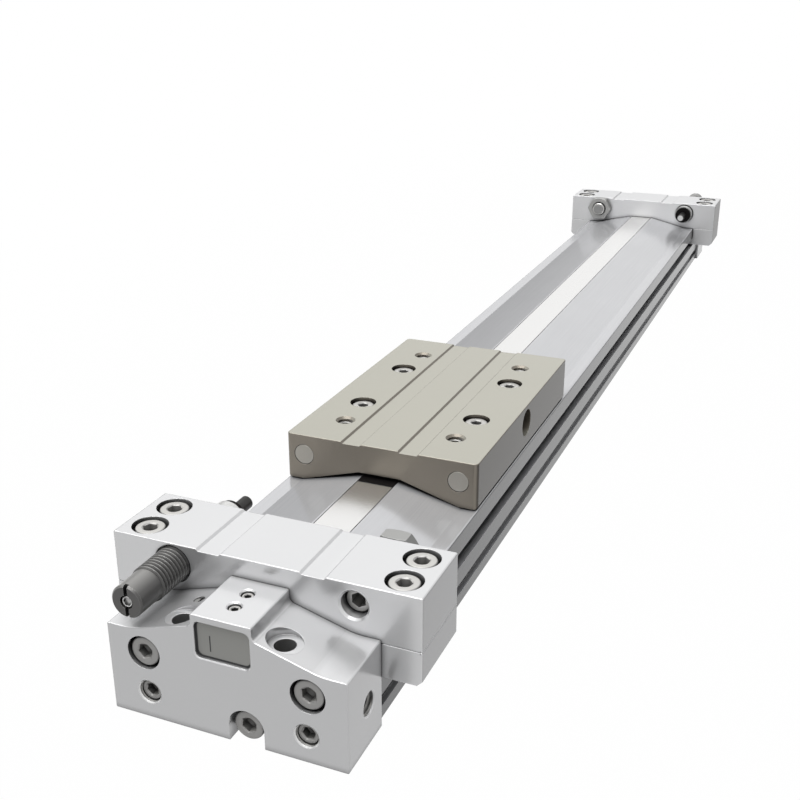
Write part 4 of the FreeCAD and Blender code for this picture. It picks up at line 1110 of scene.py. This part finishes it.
@dataclass
class Studio:
    """Camera, white floor and lamps."""

    camera_place: Color = (-0.37233, -0.10102, 0.14409)
    camera_target: Color = (-0.03958, 0.04309, 0.0)
    camera_roll: float = -0.326
    lens: float = 49.738
    shift: tuple[float, float] = (0.0163, 0.0001)
    floor_size: float = 12.0
    floor_tone: float = 0.15
    glow_near: float = 0.995
    glow_reach: float = 0.35
    fill: float = 0.21
    fill_lean: tuple[float, float] = (-0.09, 0.25)
    wall_slope: float = 0.55
    wall_tone: float = 0.2
    key_power: float = 19.0

    def build(self) -> None:
        """Sets the stage round the cylinder."""
        self.camera()
        self.floor()
        self.world()
        self.lamps()
        bpy.context.scene.view_settings.view_transform = "Standard"

    def camera(self) -> None:
        """Camera at the photograph's place."""
        data = bpy.data.cameras.new("camera")
        data.lens = self.lens
        data.shift_x, data.shift_y = self.shift
        data.clip_start = 0.01
        camera = bpy.data.objects.new("camera", data)
        place = Vector(self.camera_place)
        aim = (Vector(self.camera_target) - place).to_track_quat("-Z", "Y")
        camera.rotation_mode = "QUATERNION"
        camera.rotation_quaternion = aim @ Quaternion((0, 0, 1), math.radians(self.camera_roll))
        camera.location = place
        bpy.context.scene.collection.objects.link(camera)
        bpy.context.scene.camera = camera

    def floor(self) -> None:
        """White floor that keeps a soft shadow round the cylinder."""
        half = self.floor_size / 2
        mesh = bpy.data.meshes.new("floor")
        mesh.from_pydata([(-half, -half, 0), (half, -half, 0), (half, half, 0), (-half, half, 0)], [],
                         [(0, 1, 2, 3)])
        piece = bpy.data.objects.new("floor", mesh)
        bpy.context.scene.collection.objects.link(piece)
        sheet = NodeSheet("white_floor")
        tone = self.floor_tone
        sheet.shader.inputs["Base Color"].default_value = (tone, tone, tone, 1.0)
        sheet.shader.inputs["Roughness"].default_value = 1.0
        sheet.shader.inputs["Specular IOR Level"].default_value = 0.0
        squeeze = sheet.add("ShaderNodeMapping")
        squeeze.inputs["Scale"].default_value = (0.3, 1.0, 1.0)
        sheet.link(sheet.add("ShaderNodeTexCoord").outputs["Object"], squeeze.inputs["Vector"])
        far = sheet.add("ShaderNodeVectorMath")
        far.operation = "LENGTH"
        sheet.link(squeeze.outputs["Vector"], far.inputs[0])
        glow = sheet.add("ShaderNodeMapRange")
        glow.interpolation_type = "SMOOTHSTEP"
        glow.inputs["From Min"].default_value = 0.06
        glow.inputs["From Max"].default_value = self.glow_reach
        glow.inputs["To Min"].default_value = self.glow_near
        sheet.link(far.outputs["Value"], glow.inputs["Value"])
        mix = sheet.add("ShaderNodeMixShader")
        sheet.link(sheet.product(sheet.seen(), glow.outputs["Result"]), mix.inputs[0])
        sheet.link(sheet.shader.outputs["BSDF"], mix.inputs[1])
        sheet.link(sheet.add("ShaderNodeEmission").outputs["Emission"], mix.inputs[2])
        sheet.link(mix.outputs["Shader"], sheet.nodes["Material Output"].inputs["Surface"])
        mesh.materials.append(sheet.material)

    def world(self) -> None:
        """White surroundings, with a grey wall for the gloss alone and a soft fill for the rest."""
        world = bpy.data.worlds.new("surroundings")
        bpy.context.scene.world = world
        world.use_nodes = True
        tree = world.node_tree
        back = tree.nodes["Background"]
        back.inputs["Color"].default_value = (1.0, 1.0, 1.0, 1.0)
        split = tree.nodes.new("ShaderNodeSeparateXYZ")
        tree.links.new(tree.nodes.new("ShaderNodeTexCoord").outputs["Generated"], split.inputs["Vector"])

        def sum_of(first: bpy.types.NodeSocket, factor: float,
                   second: bpy.types.NodeSocket | float) -> bpy.types.NodeSocket:
            """A socket times a factor, plus another socket or number.

            Args:
                first: the socket.
                factor: what it is multiplied by.
                second: what is added.

            Returns:
                The sum.
            """
            node = tree.nodes.new("ShaderNodeMath")
            node.operation = "MULTIPLY_ADD"
            tree.links.new(first, node.inputs[0])
            node.inputs[1].default_value = factor
            if isinstance(second, bpy.types.NodeSocket):
                tree.links.new(second, node.inputs[2])
            else:
                node.inputs[2].default_value = second
            return node.outputs["Value"]

        def blend(factor: bpy.types.NodeSocket, low: bpy.types.NodeSocket,
                  high: bpy.types.NodeSocket | float) -> bpy.types.NodeSocket:
            """One value where a factor is 0 and another where it is 1.

            Args:
                factor: from 0 to 1.
                low: the value at 0.
                high: the value at 1.

            Returns:
                The blended value.
            """
            node = tree.nodes.new("ShaderNodeMix")
            tree.links.new(factor, node.inputs["Factor"])
            tree.links.new(low, node.inputs["A"])
            if isinstance(high, bpy.types.NodeSocket):
                tree.links.new(high, node.inputs["B"])
            else:
                node.inputs["B"].default_value = high
            return node.outputs["Result"]

        under = sum_of(split.outputs["Z"], -1.0, sum_of(split.outputs["Y"], self.wall_slope, 0.0))
        wall = tree.nodes.new("ShaderNodeMapRange")
        wall.interpolation_type = "SMOOTHSTEP"
        wall.inputs["From Min"].default_value = -0.02
        wall.inputs["From Max"].default_value = 0.05
        wall.inputs["To Min"].default_value = 1.0
        wall.inputs["To Max"].default_value = self.wall_tone
        tree.links.new(under, wall.inputs["Value"])
        lean = sum_of(split.outputs["X"], self.fill_lean[0],
                      sum_of(split.outputs["Y"], self.fill_lean[1], self.fill))
        path = tree.nodes.new("ShaderNodeLightPath")
        strength = blend(path.outputs["Is Glossy Ray"], lean, wall.outputs["Result"])
        strength = blend(path.outputs["Is Transmission Ray"], strength, 1.0)
        strength = blend(path.outputs["Is Camera Ray"], strength, 1.0)
        tree.links.new(strength, back.inputs["Strength"])

    def lamps(self) -> None:
        """One broad lamp overhead."""
        self.area("key_lamp", Vector((-0.35, 0.15, 1.3)), Vector((0, 0, 0)), 1.3, self.key_power)

    def area(self, name: str, place: Vector, target: Vector, size: float, power: float) -> None:
        """Square lamp that shines at a point.

        Args:
            name: name of the lamp.
            place: where it is.
            target: what it shines at.
            size: length of its sides.
            power: its power in watts.
        """
        data = bpy.data.lights.new(name, "AREA")
        data.size = size
        data.energy = power
        lamp = bpy.data.objects.new(name, data)
        lamp.rotation_mode = "QUATERNION"
        lamp.rotation_quaternion = (target - place).to_track_quat("-Z", "Y")
        lamp.location = place
        bpy.context.scene.collection.objects.link(lamp)


def main() -> None:
    """Builds every sub-assembly in order."""
    logging.basicConfig(level=logging.INFO, format="%(name)s %(message)s")
    TubeAndBands().build()
    for end in End:
        HeadCover(end).build()
        AdjustingUnit(end).build()
    covers = [HeadCover(end) for end in End]
    plugs = ScrewSet(covers[0].plug, [place for cover in covers for place in cover.plug_places()], 7)
    fitted(plugs.piece("socket_plugs"), "root", "screw_steel", "port_plugs")
    sets = ScrewSet(covers[0].set_screw, [place for cover in covers for place in cover.set_screw_places()],
                    11)
    fitted(sets.piece("ridge_set_screws"), "root", "screw_steel", "band_clamp_screws")
    Carriage().build()
    Studio().build()


if __name__ == "__main__":
    main()
